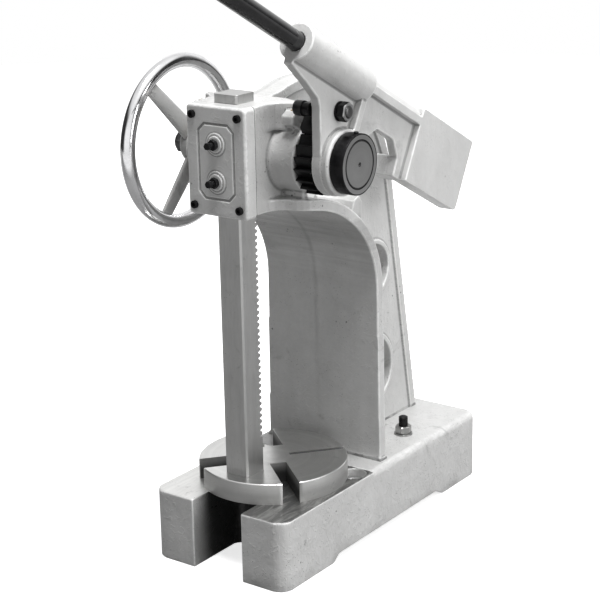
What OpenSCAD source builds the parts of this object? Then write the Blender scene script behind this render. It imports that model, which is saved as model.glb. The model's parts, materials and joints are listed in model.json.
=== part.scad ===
// Ratchet arbor press, in millimetres. Z is up and the feet stand on Z = 0.
// The ram's axis is the Z axis. The press faces -Y, its lever is on +X and its handwheel on -X.
// Side outlines are drawn as (y, z). The lever's outlines are drawn as (u, v) about the pinion shaft,
// where u runs along the lever towards its tail and v is square to it.

/* [Base] */
// Width of the base casting
base_w = 294; // [286:1:306]
// Reach of the base in front of the ram's axis
base_front = 86; // [80:1:100]
// Reach of the base behind the ram's axis
base_back = 580; // [566:1:600]
// Height of the base casting
base_h = 133; // [124:1:142]
// Radius of the base's corners in plan
base_corner_r = 27; // [20:1:30]
// Radius of the base's upper edges
base_edge_r = 12; // [8:1:13]
// Width of the open slot between the prongs
base_slot_w = 109; // [100:1:116]
// Where the slot ends behind the ram's axis
base_slot_end = 46; // [40:1:50]
// Height of the arch under the base
arch_h = 13; // [9:1:16]

/* [Table plate] */
// Diameter of the round table plate
table_d = 273; // [266:1:277]
// Thickness of the table plate
table_t = 39.2; // [35.2:1:43.2]
// Distance of the plate's pivot behind the ram's axis
table_y = 85; // [82:1:87]

/* [Column] */
// Front face of the column's flange, behind the ram's axis
throat_y = 246; // [242:1:252]
// Thickness of the throat flange
flange_t = 20; // [16:1:23]
// Width of the throat flange at the column
flange_w = 250; // [244:1:256]
// Thickness of the web
web_t = 40; // [34:1:44]
// How far the rim and the hole borders stand proud of the web
rim_proud = 4; // [3:0.5:6]
// Width of the rim along the edge of the web
rim_w = 19; // [15:1:22]
// Radius of the crown of the frame
crown_r = 270; // [264:1:274]
// Lean of the column's back edge from upright
back_lean = 10.3; // [9.8:0.1:10.8]

/* [Head] */
// Width of the ram's housing
head_w = 126; // [120:1:132]
// Height of the pinion shaft above the base
shaft_rise = 612; // [608:1:616]
// Height of the top of the head above the pinion shaft
head_rise = 97; // [91:1:103]
// Radius of the bearing bosses
boss_r = 57; // [55:0.5:58]
// Half the width over both bearing bosses
boss_x = 116; // [112:1:118]
// Thickness of the front cover
cover_t = 26.7; // [25:0.1:30]

/* [Ram and rack] */
// Width of the square ram
ram_w = 50; // [48:0.5:52]
// Length of the ram
ram_len = 686; // [680:1:700]
// Chamfer along the ram's edges
ram_chamfer = 3; // [2:0.5:4]
// Module of rack and pinion
tooth_module = 3.6; // [3.5:0.05:3.7]
// Number of teeth of the pinion
pinion_teeth = 23; // [22:1:24]

/* [Shaft and ratchet] */
// Diameter of the shaft on the lever's side
shaft_d = 80; // [78:0.5:81]
// Diameter of the shaft's left journal
journal_d = 70; // [66:0.5:74]
// Number of teeth of the ratchet wheel
ratchet_teeth = 18; // [18:1:18]
// Radius over the teeth of the ratchet wheel
ratchet_r = 60; // [59:0.5:61]
// Depth of the ratchet teeth
ratchet_depth = 9; // [8:0.5:10]
// Width of the ratchet wheel
ratchet_w = 34; // [30:1:34]
// Radius of the end collar
collar_r = 52; // [50:0.5:54]
// Width of the end collar
collar_w = 25.5; // [22:0.5:28]

/* [Lever] */
// Rise of the lever bar from level, at rest
lever_rise = 28; // [24:1:32]
// Distance of the bar's axis from the shaft's axis
bar_v = 138; // [134:1:142]
// Diameter of the lever bar
bar_d = 32; // [30:0.5:34]
// Length of the lever bar
bar_len = 860; // [780:10:900]
// Radius of the bar's socket
socket_r = 32; // [30:0.5:33]
// Thickness of the lever's plate
lever_plate_t = 18; // [16:1:20]
// Depth of the pocket in the lever's tail
pocket_depth = 14; // [12:1:16]
// Length of the tail block
tail_len = 194; // [180:1:206]

/* [Handwheel] */
// Diameter of the handwheel over its rim
wheel_d = 314; // [300:1:320]
// Diameter of the rim's tube
rim_d = 26; // [24:0.5:28]
// How far the rim stands out beyond the end of the boss
wheel_dish = 56; // [52:1:60]

/* [Hidden] */
$fn = 64;
// Clearances and the overrun of cuts
running_gap = 0.05;
seat_gap = 0.04;
side_gap = 0.3;
bolt_gap = 0.5;
over = 1;
arc_steps = 10;

// Base values
foot_gap = 0.2;
foot_t = 26;
foot_w = 226;
foot_back = 548;
arch_front = 66;
arch_back = 445;
arch_slope = 18;
arch_slope_back = 26;
base_slot_r = 20;
seat_cut = 1.2;
seat_end = 197;
seat_edge = 2;
seat_relief = 2;
seat_z = base_h - seat_cut;
hold_x = 118;
hold_y = 172;
hold_hole_r = 13;
hold_bore_r = 25;
hold_bore_depth = 22;
post_fn = 32;
pin_r = 12;
pin_below = 30;
pin_above = 22;

// Studs and bolts that hold the column
stud_x = 90;
stud_y = 388;
stud_r = 9;
stud_up = 37;
stud_down = 60;
stud_nut_af = 28;
stud_nut_h = 15;
stud_washer_r = 18;
stud_washer_t = 3;
foot_bolt_x = 60;
foot_bolt_ys = [290, 400];
foot_bolt_r = 8;
foot_bolt_head_r = 13;
foot_bolt_head_h = 16;
foot_bolt_bite = 22;

// Slots of the table plate: direction, width and distance of the inner end from the pivot
table_slot_angles = [-40, -130, 140, 50];
table_slot_widths = [31, 44, 60, 11];
table_slot_starts = [36, 40, 46, 30];
table_edge = 1.5;
table_top = seat_z + table_t;

// Column values, heights from the top of the base
shaft_z = base_h + shaft_rise;
head_top = shaft_z + head_rise;
throat_r1 = 175;
throat_r2 = 235;
throat_angle = 44;
throat_up = 330;
throat_c1 = [throat_y - throat_r1, base_h + throat_up];
throat_c2 = throat_c1 + (throat_r1 - throat_r2) * [cos(throat_angle), sin(throat_angle)];
head_bottom = throat_c2[1] + throat_r2;
seam_in = 1.6;
seam_y = -ram_w / 2 - seam_in;
crown_y = 184;
crown_up = 457;
crown_c = [crown_y, base_h + crown_up];
crown_front_angle = 108;
foot_flare = 3;
foot_flare_h = 7;
flange_foot_w = 258;
flange_taper_h = 317;
// The holes in the web: y, height and radius
hole_low = [383, 120, 66];
hole_high = [388, 323, 50];
border_w = 9;
foot_bite = 3;
foot_fillet = 3;
foot_fillet_h = 4;
// Half the flange's width, seen from above
wing_plan = [[63, -27], [64, 4], [70, 18], [82, 30], [100, 38], [110, 45], [117, 54], [122, 72],
    [124, 95], [125, 125]];

// Head values
head_back_y = 68;
// Outline of the wings beside the head: distance out from its side and y
wing_points = [[0, -2], [2, 10], [7, 21], [15, 30], [26, 37], [34, 42], [34, 52]];
wing_h = 46;
boss_root = 5;
boss_root_len = 8;
boss_fillet_shares = [0.4, 0.3];
boss_edge = 1.5;
bush_r = 46;
bush_inner_x = 28;
rib_y = 47;
rib_t = 14;
rib_x = 107;
rib_bite = 8;
// Outline of the stop rib behind the head: y from its own front edge, and height
stop_y = 196;
stop_x = 104;
stop_outline = [[0, 487], [8, 507], [24, 515], [34, 501], [30, 467], [10, 467]];
lug_x = 86;
lug_w = 25;
oiler_r = 4;
oiler_h = 2;
oiler_y = -30;
oiler_z = 85;
oiler_crown_share = 0.6;
oiler_bore_r = 3;
oiler_bore_in = 4.5;
// Outline of the lugs on the bosses, about the shaft
lug_outline = [[-48, 64], [-48, 78], [-35, oiler_z], [-12, oiler_z], [-12, 50], [-24, 50], [-34, 58]];

// Cover, its screws and the gib
cover_below = 93;
cover_bottom = shaft_z - cover_below;
cover_edge = 5;
cover_corner_r = 7;
cover_mid_z = (cover_bottom + head_top) / 2;
cover_screw_x = 48.25;
cover_screw_z = 78;
cover_screw_r = 4;
cover_screw_af = 14;
cover_screw_head = 6;
cover_screw_bite = 22;
panel_x = 37;
panel_z = 64;
panel_clip = 12;
panel_groove_w = 4.5;
panel_groove_depth = 2.5;
gib_screw_z = 32.5;
gib_screw_r = 5;
gib_boss_r = 19;
gib_boss_h = 4;
gib_ring_r = 14;
gib_ring_h = 2;
gib_nut_af = 17;
gib_nut_h = 8;
gib_stub = 13;
gib_stub_af = 11;
gib_stub_h = 8;
gib_t = 8;
gib_end_gap = 8;

// Rack and pinion values
pressure_angle = 20;
rack_pitch = PI * tooth_module;
rack_addendum = tooth_module;
rack_dedendum = 1.25 * tooth_module;
mesh_slack = 0.35;
pinion_pr = tooth_module * pinion_teeth / 2;
shaft_y = ram_w / 2 - rack_addendum + pinion_pr;
ram_plain = 64;
ram_plain_top = 24;
pinion_half = 26;
flank_steps = 4;

// Shaft values, positions along X
seat_r = 17.5;
thread_r = 12;
hub_len = 33;
wheel_washer_t = 4;
wheel_washer_r = 22;
wheel_nut_h = 18;
wheel_nut_af = 36;
thread_spare = 4;
key_w = 12;
key_h = 8;
wheel_key_w = 8;
wheel_key_h = 7;
centre_drill_r = 3.5;
centre_drill_depth = 5;
end_groove = 1.2;
wheel_gap = 2;
ratchet_x = boss_x + wheel_gap;
ratchet_pitch = 360 / ratchet_teeth;
ratchet_root = ratchet_r - ratchet_depth;
ratchet_land_share = 0.1;
ratchet_phase_angle = 2;
collar_screw_r = 3.5;
collar_screw_in = 7;
collar_screw_head_r = 4.5;
collar_screw_head_h = 2.5;

// Handwheel values
hub_r = 34;
hub_edge = 2;
hub_edge_out = 4;
spoke_root_share = 0.6;
spoke_angles = [7, 127, 247];
spoke_w_hub = 38;
spoke_w_rim = 27;
spoke_t_hub = 16;
spoke_t_rim = 10;
rim_centre_r = (wheel_d - rim_d) / 2;
rim_x = -boss_x - wheel_dish;
hub_face_x = -boss_x - wheel_gap;

// Lever values, in the lever's own frame
lever_gap = 2;
lever_x = ratchet_x + ratchet_w + lever_gap;
lever_face_x = lever_x + lever_plate_t;
lever_out_x = lever_face_x + pocket_depth;
collar_gap = 0.4;
shaft_end = lever_out_x + collar_gap + collar_w;
hub_plate_r = 58;
hub_ring_r = 57;
hub_ring_edge = 2.5;
socket_u = -200;
socket_end_u = 6;
socket_cone = 14;
socket_bore_depth = 158;
bar_x = 168;
bar_end_r = 5;
beam_v = 131;
beam_top_v = 161;
beam_side_h = 14;
beam_shoulder = 7;
beam_crown = 1;
beam_shares = [0.7, 0.35];
beam_gap = 6;
beam_gap_v = 152;
tail_u = 192;
tail_v = 27;
tail_top_v = 163;
tail_r = 8;
tail_top_r = 3;
tail_bite = 20;
ridge_u = -4;
ridge_w = 15;
ridge_from_share = 0.7;
notch_top_v = 86;
notch_back_u = 170;
// Corners of the lever's plate, each with its radius
lever_outline = [[socket_u, bar_v, 0], [socket_u, 100, 0], [-150, 88, 30], [-107, 75, 14],
    [-95, 62, 12], [-79, 32, 30], [-58, -8, 0], [0, 0, 0], [52, 30, 0], [62, 66, 10],
    [84, notch_top_v, 8], [142, notch_top_v, 18], [notch_back_u - over, 60, 14],
    [notch_back_u, tail_v, 0], [tail_u + tail_bite, tail_v, 0], [tail_u + tail_bite, bar_v, 0]];
tail_flange_x = 127;
tail_flange_t = 8;
tail_flange_v = 72;
tail_flange_slope = 8;
pivot_u = -40;
pivot_v = 76;
pivot_r = 10;
pivot_boss_r = 17;
pin_head_r = 15;
pin_head_t = 3;
pawl_washer_r = 17;
pawl_washer_t = 3;
pawl_nut_af = 30;
pawl_nut_h = 16;
pin_spare = 3;
bar_screw_u = -150;
bar_screw_r = 5;
bar_screw_len = 15;

// Pawl values
pawl_inset = 2;
pawl_face_gap = 4;
pawl_x0 = ratchet_x + pawl_inset;
pawl_x1 = lever_x - pawl_face_gap;
pawl_ride_angle = 8;
pawl_body_r = 18;
pawl_cheek = 6;
pawl_cheek_share = 0.9;
pawl_arm_t = 14;
pawl_arm_edge = 3;
knob_u = -88;
knob_v = 61;
knob_r = 13;
knob_edge = 2;
knob_proud = 1;
nose_angle = 152;
nose_gap = 0.4;
nose_short = 3;
nose_shoulder = 6;
nose_heel = 1.5;
nose_heel_gap = 1.6;

paint = [0.80, 0.80, 0.79];
steel = [0.66, 0.66, 0.65];
black = [0.08, 0.08, 0.09];
chrome = [0.85, 0.86, 0.88];
bronze = [0.60, 0.48, 0.28];

// Points of an arc about c from angle a to angle b
function arc(c, r, a, b, n = arc_steps) =
    [for (i = [0:n]) c + r * [cos(a + (b - a) * i / n), sin(a + (b - a) * i / n)]];
function unit(v) = v / norm(v);
function reversed(p) = [for (i = [len(p) - 1:-1:0]) p[i]];
// A closed outline whose corners [x, y, r] are rounded with radius r
function rounded(p, n = 5) = [for (i = [0:len(p) - 1]) each
    let (a = p[(i + len(p) - 1) % len(p)], b = p[i], c = p[(i + 1) % len(p)],
        ba = unit([a[0] - b[0], a[1] - b[1]]), bc = unit([c[0] - b[0], c[1] - b[1]]),
        half = acos(ba * bc) / 2, q = [b[0], b[1]])
    b[2] == 0 ? [q] :
        let (t = b[2] / tan(half), m = q + unit(ba + bc) * b[2] / sin(half),
            s = q + ba * t - m, e = q + bc * t - m,
            a0 = atan2(s[1], s[0]), turn = atan2(e[1], e[0]) - a0,
            w = turn > 180 ? turn - 360 : turn < -180 ? turn + 360 : turn)
        [for (k = [0:n]) m + b[2] * [cos(a0 + w * k / n), sin(a0 + w * k / n)]]];

// Extrusions of a side outline (y, z) along X, and of a front outline (x, z) along Y
module side_slab(x0, x1) translate([x0, 0, 0]) rotate([90, 0, 90]) linear_extrude(x1 - x0) children();
module front_slab(y0, y1) translate([0, y1, 0]) rotate([90, 0, 0]) linear_extrude(y1 - y0) children();
// A cylinder or a revolved shape whose axis runs along X, Y
module rod_x(x0, x1, r, r2 = -1) translate([x0, 0, 0]) rotate([0, 90, 0])
    cylinder(h = x1 - x0, r1 = r, r2 = r2 < 0 ? r : r2);
module rod_y(y0, y1, r) translate([0, y1, 0]) rotate([90, 0, 0]) cylinder(h = y1 - y0, r = r);
module hex_x(x0, x1, af) translate([x0, 0, 0]) rotate([0, 90, 0])
    cylinder(h = x1 - x0, r = af / sqrt(3), $fn = 6);
module hex_y(y0, y1, af) translate([0, y1, 0]) rotate([90, 0, 0])
    cylinder(h = y1 - y0, r = af / sqrt(3), $fn = 6);
// Places the children on the shaft's axis, or in the lever's frame
module on_shaft() translate([0, shaft_y, shaft_z]) children();
module in_lever() on_shaft() rotate([-lever_rise, 0, 0]) children();
module both_sides() for (s = [0, 1]) mirror([s, 0, 0]) children();

// Base

// The section of an edge with a rounded top corner, from the middle out to w
function edge_section(w, h, r) =
    concat([[0, 0], [w, 0]], arc([w - r, h - r], r, 0, 90, 5), [[0, h]]);

// One end of the base's outer form, and its section across where two forms meet
module base_end(y, h, r) for (s = [-1, 1]) translate([s * (base_w / 2 - base_corner_r), y, 0])
    rotate_extrude($fn = post_fn) polygon(edge_section(base_corner_r, h, r));
module base_section(y, h, r) both_sides() front_slab(y, y + over)
    polygon(edge_section(base_w / 2, h, r));

module base_slot() {
    reach = base_front + base_slot_end + over;
    translate([-base_slot_w / 2, -base_front - over]) square([base_slot_w, reach - base_slot_r]);
    translate([-base_slot_w / 2 + base_slot_r, -base_front - over])
        square([base_slot_w - 2 * base_slot_r, reach]);
    for (s = [-1, 1]) translate([s * (base_slot_w / 2 - base_slot_r), base_slot_end - base_slot_r])
        circle(base_slot_r);
}

module base_casting() color(paint) difference() {
    union() {
        // Machined front with the table's seat, and the rounded back that carries the column
        hull() {
            base_end(-base_front + base_corner_r, seat_z, seat_edge);
            base_section(seat_end, seat_z, seat_edge);
        }
        hull() {
            base_section(seat_end, base_h, base_edge_r);
            base_end(base_back - base_corner_r, base_h, base_edge_r);
        }
    }
    translate([0, table_y, seat_z]) cylinder(h = base_h, r = table_d / 2 + seat_relief, $fn = 96);
    translate([0, 0, -over]) linear_extrude(base_h + 2 * over) base_slot();
    side_slab(-base_w, base_w) polygon([[arch_front, -over], [arch_front, 0],
        [arch_front + arch_slope, arch_h], [arch_back - arch_slope_back, arch_h], [arch_back, 0],
        [arch_back, -over]]);
    translate([-foot_w / 2 - foot_gap, throat_y - foot_gap, base_h - foot_t])
        cube([foot_w + 2 * foot_gap, foot_back - throat_y + 2 * foot_gap, foot_t + over]);
    translate([0, table_y, seat_z - pin_below]) cylinder(h = pin_below + over, r = pin_r + seat_gap);
    both_sides() {
        translate([hold_x, hold_y, -over]) cylinder(h = base_h + 2 * over, r = hold_hole_r);
        translate([hold_x, hold_y, base_h - hold_bore_depth])
            cylinder(h = hold_bore_depth + over, r = hold_bore_r);
        translate([stud_x, stud_y, base_h - stud_down])
            cylinder(h = stud_down + over, r = stud_r + seat_gap);
        for (y = foot_bolt_ys) translate([foot_bolt_x, y, arch_h - over]) {
            cylinder(h = base_h, r = foot_bolt_r + bolt_gap);
            cylinder(h = foot_bolt_head_h + 2 * over, r = foot_bolt_head_r + bolt_gap);
        }
    }
}

module column_studs() color(black) both_sides() translate([stud_x, stud_y, base_h - stud_down + over])
    cylinder(h = stud_down + stud_up - over, r = stud_r);
module column_washers() color(steel) both_sides() translate([stud_x, stud_y, base_h]) difference() {
    cylinder(h = stud_washer_t, r = stud_washer_r);
    translate([0, 0, -over]) cylinder(h = stud_washer_t + 2 * over, r = stud_r + bolt_gap);
}
module column_nuts() color(steel) both_sides()
    translate([stud_x, stud_y, base_h + stud_washer_t]) difference() {
        cylinder(h = stud_nut_h, r = stud_nut_af / sqrt(3), $fn = 6);
        translate([0, 0, -over]) cylinder(h = stud_nut_h + 2 * over, r = stud_r + seat_gap);
    }
module foot_bolts() color(black) both_sides() for (y = foot_bolt_ys)
    translate([foot_bolt_x, y, arch_h + over]) {
        cylinder(h = foot_bolt_head_h, r = foot_bolt_head_r);
        cylinder(h = base_h - arch_h - over - foot_t + foot_bolt_bite, r = foot_bolt_r);
    }

module table_pivot_pin() color(steel) translate([0, table_y, seat_z - pin_below + over])
    cylinder(h = pin_below + pin_above - over, r = pin_r);

module table_plate() color(steel) translate([0, table_y, seat_z]) difference() {
    rotate_extrude($fn = 128) polygon([[0, 0], [table_d / 2, 0], [table_d / 2, table_t - table_edge],
        [table_d / 2 - table_edge, table_t], [0, table_t]]);
    for (i = [0:len(table_slot_angles) - 1]) rotate([0, 0, table_slot_angles[i]])
        translate([table_slot_starts[i], -table_slot_widths[i] / 2, -over])
        cube([table_d, table_slot_widths[i], table_t + 2 * over]);
    translate([0, 0, -over]) cylinder(h = pin_above + 2 * over, r = pin_r + running_gap);
}

// Column

// The throat's curve at a distance out from its surface, from the foot up to the cover's seam
function throat(out) = concat([[throat_y + out, base_h]], arc(throat_c1, throat_r1 + out, 0, throat_angle),
    arc(throat_c2, throat_r2 + out, throat_angle, 90), [[seam_y, head_bottom + out]]);

module flange() intersection() {
    side_slab(-base_w / 2, base_w / 2) {
        polygon(concat(throat(0), reversed(throat(flange_t))));
        polygon(concat([[throat_y + flange_t, base_h], [throat_y - foot_flare, base_h]],
            arc([throat_y - foot_flare, base_h + foot_flare_h], foot_flare, -90, 0, 4)));
    }
    linear_extrude(head_top) {
        k = flange_w / 2 / wing_plan[len(wing_plan) - 1][0];
        outline = concat([for (p = wing_plan) [p[0] * k, p[1]]], [[flange_w / 2, throat_y - foot_flare],
            [base_w / 2, throat_y - foot_flare], [base_w / 2, base_back]]);
        polygon(concat(outline, [for (p = reversed(outline)) [-p[0], p[1]]]));
    }
    front_slab(-base_front, base_back) {
        half = concat([[flange_foot_w / 2 + foot_flare, base_h]],
            arc([flange_foot_w / 2 + foot_flare, base_h + foot_flare_h], foot_flare, -90, -180, 4),
            [[flange_w / 2, base_h + flange_taper_h], [flange_w / 2, head_top]]);
        polygon(concat(half, [for (p = reversed(half)) [-p[0], p[1]]]));
    }
}

// The outline of the web, drawn in by a distance from the crown and the back edge
function back_foot(inset) = crown_c[0] + (crown_r - inset) / cos(back_lean)
    + (crown_c[1] - base_h) * tan(back_lean);
module web_outline(inset) difference() {
    polygon(concat([[throat_y, base_h - foot_bite], [back_foot(inset), base_h - foot_bite]],
        arc(crown_c, crown_r - inset, back_lean, crown_front_angle, 28),
        [[head_back_y - over, head_top - inset], [head_back_y - over, head_bottom]]));
    polygon(concat(throat(flange_t / 2),
        [[seam_y, base_h - foot_bite - over], [throat_y + flange_t / 2, base_h - foot_bite - over]]));
}

// Small fillet where the web meets the foot
module web_fillet() front_slab(throat_y + flange_t / 2, back_foot(0)) polygon([
    [-web_t / 2 - foot_fillet, base_h], [web_t / 2 + foot_fillet, base_h],
    [web_t / 2, base_h + foot_fillet_h], [-web_t / 2, base_h + foot_fillet_h]]);

module hole(h, grow) translate([h[0], base_h + h[1]]) circle(h[2] + grow);

module web() {
    difference() {
        side_slab(-web_t / 2, web_t / 2) web_outline(0);
        side_slab(-web_t, web_t) {
            hole(hole_low, 0);
            hole(hole_high, 0);
        }
    }
    side_slab(-web_t / 2 - rim_proud, web_t / 2 + rim_proud) {
        difference() {
            web_outline(0);
            web_outline(rim_w);
        }
        for (h = [hole_low, hole_high]) difference() {
            intersection() {
                hole(h, border_w);
                web_outline(0);
            }
            hole(h, 0);
        }
    }
}

module boss() on_shaft() rotate([0, 90, 0]) rotate_extrude($fn = 96) polygon([[0, head_w / 2 - over],
    [boss_r + boss_root, head_w / 2 - over], [boss_r + boss_root, head_w / 2],
    [boss_r + boss_root * boss_fillet_shares[0], head_w / 2 + boss_root_len * boss_fillet_shares[1]],
    [boss_r, head_w / 2 + boss_root_len], [boss_r, boss_x - boss_edge], [boss_r - boss_edge, boss_x],
    [0, boss_x]]);

module head_block() {
    translate([-head_w / 2, seam_y, head_bottom])
        cube([head_w, head_back_y - seam_y, head_top - head_bottom]);
    on_shaft() rod_x(-head_w / 2, head_w / 2, boss_r + boss_root);
    both_sides() {
        boss();
        translate([0, 0, head_top - wing_h]) linear_extrude(wing_h) polygon(concat([[0, 0]],
            [for (p = wing_points) [head_w / 2 + p[0], p[1]]],
            [[head_w / 2, head_back_y], [0, head_back_y]]));
        on_shaft() side_slab(lug_x, lug_x + lug_w) polygon(lug_outline);
        front_slab(rib_y, rib_y + rib_t) polygon([[0, head_bottom + flange_t / 2],
            [rib_x, head_bottom + flange_t / 2], [rib_x, shaft_z - boss_r + rib_bite], [0, shaft_z]]);
        side_slab(0, stop_x) translate([stop_y, base_h]) polygon(stop_outline);
    }
}

module column_casting() color(paint) difference() {
    union() {
        translate([-foot_w / 2, throat_y, base_h]) mirror([0, 0, 1])
            cube([foot_w, foot_back - throat_y, foot_t]);
        translate([-foot_w / 2 + over, throat_y + over, base_h - foot_bite])
            cube([foot_w - 2 * over, flange_t - 2 * over, 2 * foot_bite]);
        flange();
        web();
        web_fillet();
        head_block();
    }
    translate([-ram_w / 2 - running_gap, seam_y - over, base_h + over])
        cube([ram_w + 2 * running_gap, ram_w / 2 + running_gap - seam_y + over, head_top]);
    on_shaft() rod_x(-boss_x - over, boss_x + over, bush_r + seat_gap);
    both_sides() {
        translate([stud_x, stud_y, base_h - foot_t - over])
            cylinder(h = foot_t + 2 * over, r = stud_r + bolt_gap);
        for (y = foot_bolt_ys) translate([foot_bolt_x, y, base_h - foot_t - over])
            cylinder(h = foot_bolt_bite + 2 * over, r = foot_bolt_r + seat_gap);
        for (s = [-1, 1]) translate([cover_screw_x, 0, cover_mid_z + s * cover_screw_z])
            rod_y(seam_y - over, seam_y + cover_screw_bite + over, cover_screw_r + seat_gap);
        on_shaft() translate([lug_x + lug_w / 2, oiler_y, bush_r - oiler_bore_in])
            cylinder(h = boss_r, r = oiler_bore_r);
    }
}

module oilers() color(bronze) both_sides()
    on_shaft() translate([lug_x + lug_w / 2, oiler_y, oiler_z]) rotate_extrude() polygon([[0, 0],
        [oiler_r, 0], [oiler_r, oiler_h / 2], [oiler_r * oiler_crown_share, oiler_h], [0, oiler_h]]);

module bush(x0, x1, bore) on_shaft() difference() {
    rod_x(x0, x1, bush_r);
    rod_x(x0 - over, x1 + over, bore + running_gap);
}
module right_bush() color(bronze) bush(bush_inner_x, boss_x, shaft_d / 2);
module left_bush() color(bronze) bush(-boss_x, -bush_inner_x, journal_d / 2);

// Cover and gib

module cover_post() rotate([90, 0, 0]) rotate_extrude($fn = post_fn) polygon(concat(
    [[0, 0], [cover_corner_r, 0]],
    arc([cover_corner_r - cover_edge, cover_t - cover_edge], cover_edge, 0, 90, 4), [[0, cover_t]]));

module panel(grow) {
    x = panel_x + grow;
    z = panel_z + grow;
    c = panel_clip + grow / 2;
    polygon([[-x, -z + c], [-x + c, -z], [x - c, -z], [x, -z + c], [x, z - c], [x - c, z],
        [-x + c, z], [-x, z - c]]);
}

module cover_plate() color(paint) difference() {
    union() {
        hull() for (s = [-1, 1], z = [cover_bottom + cover_corner_r, head_top - cover_corner_r])
            translate([s * (head_w / 2 - cover_corner_r), seam_y, z]) cover_post();
        for (s = [-1, 1]) translate([0, 0, shaft_z + s * gib_screw_z]) {
            rod_y(seam_y - cover_t - gib_ring_h, seam_y - over, gib_boss_r);
            rod_y(seam_y - cover_t - gib_boss_h, seam_y - over, gib_ring_r);
        }
    }
    translate([0, 0, cover_mid_z]) front_slab(seam_y - cover_t - over, seam_y - cover_t + panel_groove_depth)
        difference() {
            panel(panel_groove_w / 2);
            panel(-panel_groove_w / 2);
        }
    translate([-ram_w / 2 - running_gap, -ram_w / 2 - gib_t - 2 * running_gap, cover_bottom + gib_end_gap])
        cube([ram_w + 2 * running_gap, gib_t + ram_w, head_top - cover_bottom - 2 * gib_end_gap]);
    for (s = [-1, 1]) {
        translate([0, 0, shaft_z + s * gib_screw_z])
            rod_y(seam_y - cover_t - gib_boss_h - over, seam_y, gib_screw_r + seat_gap);
        for (x = [-cover_screw_x, cover_screw_x]) translate([x, 0, cover_mid_z + s * cover_screw_z])
            rod_y(seam_y - cover_t - over, seam_y + over, cover_screw_r + bolt_gap);
    }
}

module cover_screws() color(black) for (x = [-cover_screw_x, cover_screw_x], s = [-1, 1])
    translate([x, 0, cover_mid_z + s * cover_screw_z]) {
        hex_y(seam_y - cover_t - cover_screw_head, seam_y - cover_t, cover_screw_af);
        rod_y(seam_y - cover_t, seam_y + cover_screw_bite, cover_screw_r);
    }

module gib_strip() color(steel) translate([-ram_w / 2, -ram_w / 2 - gib_t - running_gap,
    cover_bottom + gib_end_gap + side_gap])
    cube([ram_w, gib_t, head_top - cover_bottom - 2 * (gib_end_gap + side_gap)]);

gib_face_y = seam_y - cover_t - gib_boss_h;
module gib_screws() color(black) for (s = [-1, 1]) translate([0, 0, shaft_z + s * gib_screw_z]) {
    rod_y(gib_face_y - gib_nut_h - gib_stub, -ram_w / 2 - gib_t - running_gap, gib_screw_r);
    hex_y(gib_face_y - gib_nut_h - gib_stub, gib_face_y - gib_nut_h - gib_stub + gib_stub_h, gib_stub_af);
}
module gib_lock_nuts() color(black) for (s = [-1, 1]) translate([0, 0, shaft_z + s * gib_screw_z])
    difference() {
        hex_y(gib_face_y - gib_nut_h, gib_face_y, gib_nut_af);
        rod_y(gib_face_y - gib_nut_h - over, gib_face_y + over, gib_screw_r + seat_gap);
    }

// Ram and pinion

rack_half_tip = rack_pitch / 4 - rack_addendum * tan(pressure_angle) - mesh_slack / 2;
rack_half_root = rack_pitch / 4 + rack_dedendum * tan(pressure_angle) - mesh_slack / 2;
rack_from = ceil((table_top + ram_plain - shaft_z) / rack_pitch);
rack_to = floor((table_top + ram_len - ram_plain_top - shaft_z) / rack_pitch) - 1;

module ram() color(steel) {
    back = ram_w / 2;
    root = back - rack_addendum - rack_dedendum;
    intersection() {
        side_slab(-back, back) polygon(concat([[-back, table_top], [back, table_top]],
            [for (i = [rack_from:rack_to]) let (z = shaft_z + i * rack_pitch) each [
                [back, z - rack_pitch / 2 + rack_half_tip], [root, z - rack_pitch / 2 + rack_half_root],
                [root, z + rack_pitch / 2 - rack_half_root], [back, z + rack_pitch / 2 - rack_half_tip]]],
            [[back, table_top + ram_len], [-back, table_top + ram_len]]));
        translate([0, 0, table_top]) linear_extrude(ram_len) square_bar(ram_w, ram_chamfer);
    }
}
module square_bar(w, c) {
    h = w / 2;
    polygon([[-h + c, -h], [h - c, -h], [h, -h + c], [h, h - c], [h - c, h], [-h + c, h], [-h, h - c],
        [-h, -h + c]]);
}

// Angle of the involute where it meets radius r, for base radius rb
function involute(rb, r) = let (t = sqrt(max(0, r * r / (rb * rb) - 1))) t * 180 / PI - atan(t);
module pinion_outline() {
    rb = pinion_pr * cos(pressure_angle);
    ra = pinion_pr + rack_addendum - mesh_slack;
    rf = pinion_pr - rack_dedendum;
    half = 90 / pinion_teeth + involute(rb, pinion_pr) - mesh_slack / 4 / pinion_pr * 180 / PI;
    flank = [for (k = [0:flank_steps]) let (r = rb + (ra - rb) * k / flank_steps)
        [r, half - involute(rb, r)]];
    polygon([for (i = [0:pinion_teeth - 1]) let (a = 180 + i * 360 / pinion_teeth) each concat(
        [rf * [cos(a - half), sin(a - half)]],
        [for (p = flank) p[0] * [cos(a - p[1]), sin(a - p[1])]],
        [for (p = reversed(flank)) p[0] * [cos(a + p[1]), sin(a + p[1])]],
        [rf * [cos(a + half), sin(a + half)]])]);
}

module pinion_shaft() color(steel) on_shaft() difference() {
    union() {
        side_slab(-pinion_half, pinion_half) pinion_outline();
        rod_x(ram_w / 2 + side_gap, shaft_end, shaft_d / 2);
        rod_x(-boss_x, 0, journal_d / 2);
        rod_x(hub_face_x - hub_len, 0, seat_r);
        rod_x(hub_face_x - hub_len - wheel_washer_t - wheel_nut_h - thread_spare, 0, thread_r);
    }
    translate([ratchet_x, -key_w / 2, shaft_d / 2 - key_h / 2]) cube([ratchet_w, key_w, key_h]);
    translate([hub_face_x - hub_len - over, -wheel_key_w / 2, seat_r - wheel_key_h / 2])
        cube([hub_len + over, wheel_key_w, wheel_key_h]);
    rod_x(shaft_end - centre_drill_depth, shaft_end + over, 0, centre_drill_r);
}

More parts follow.
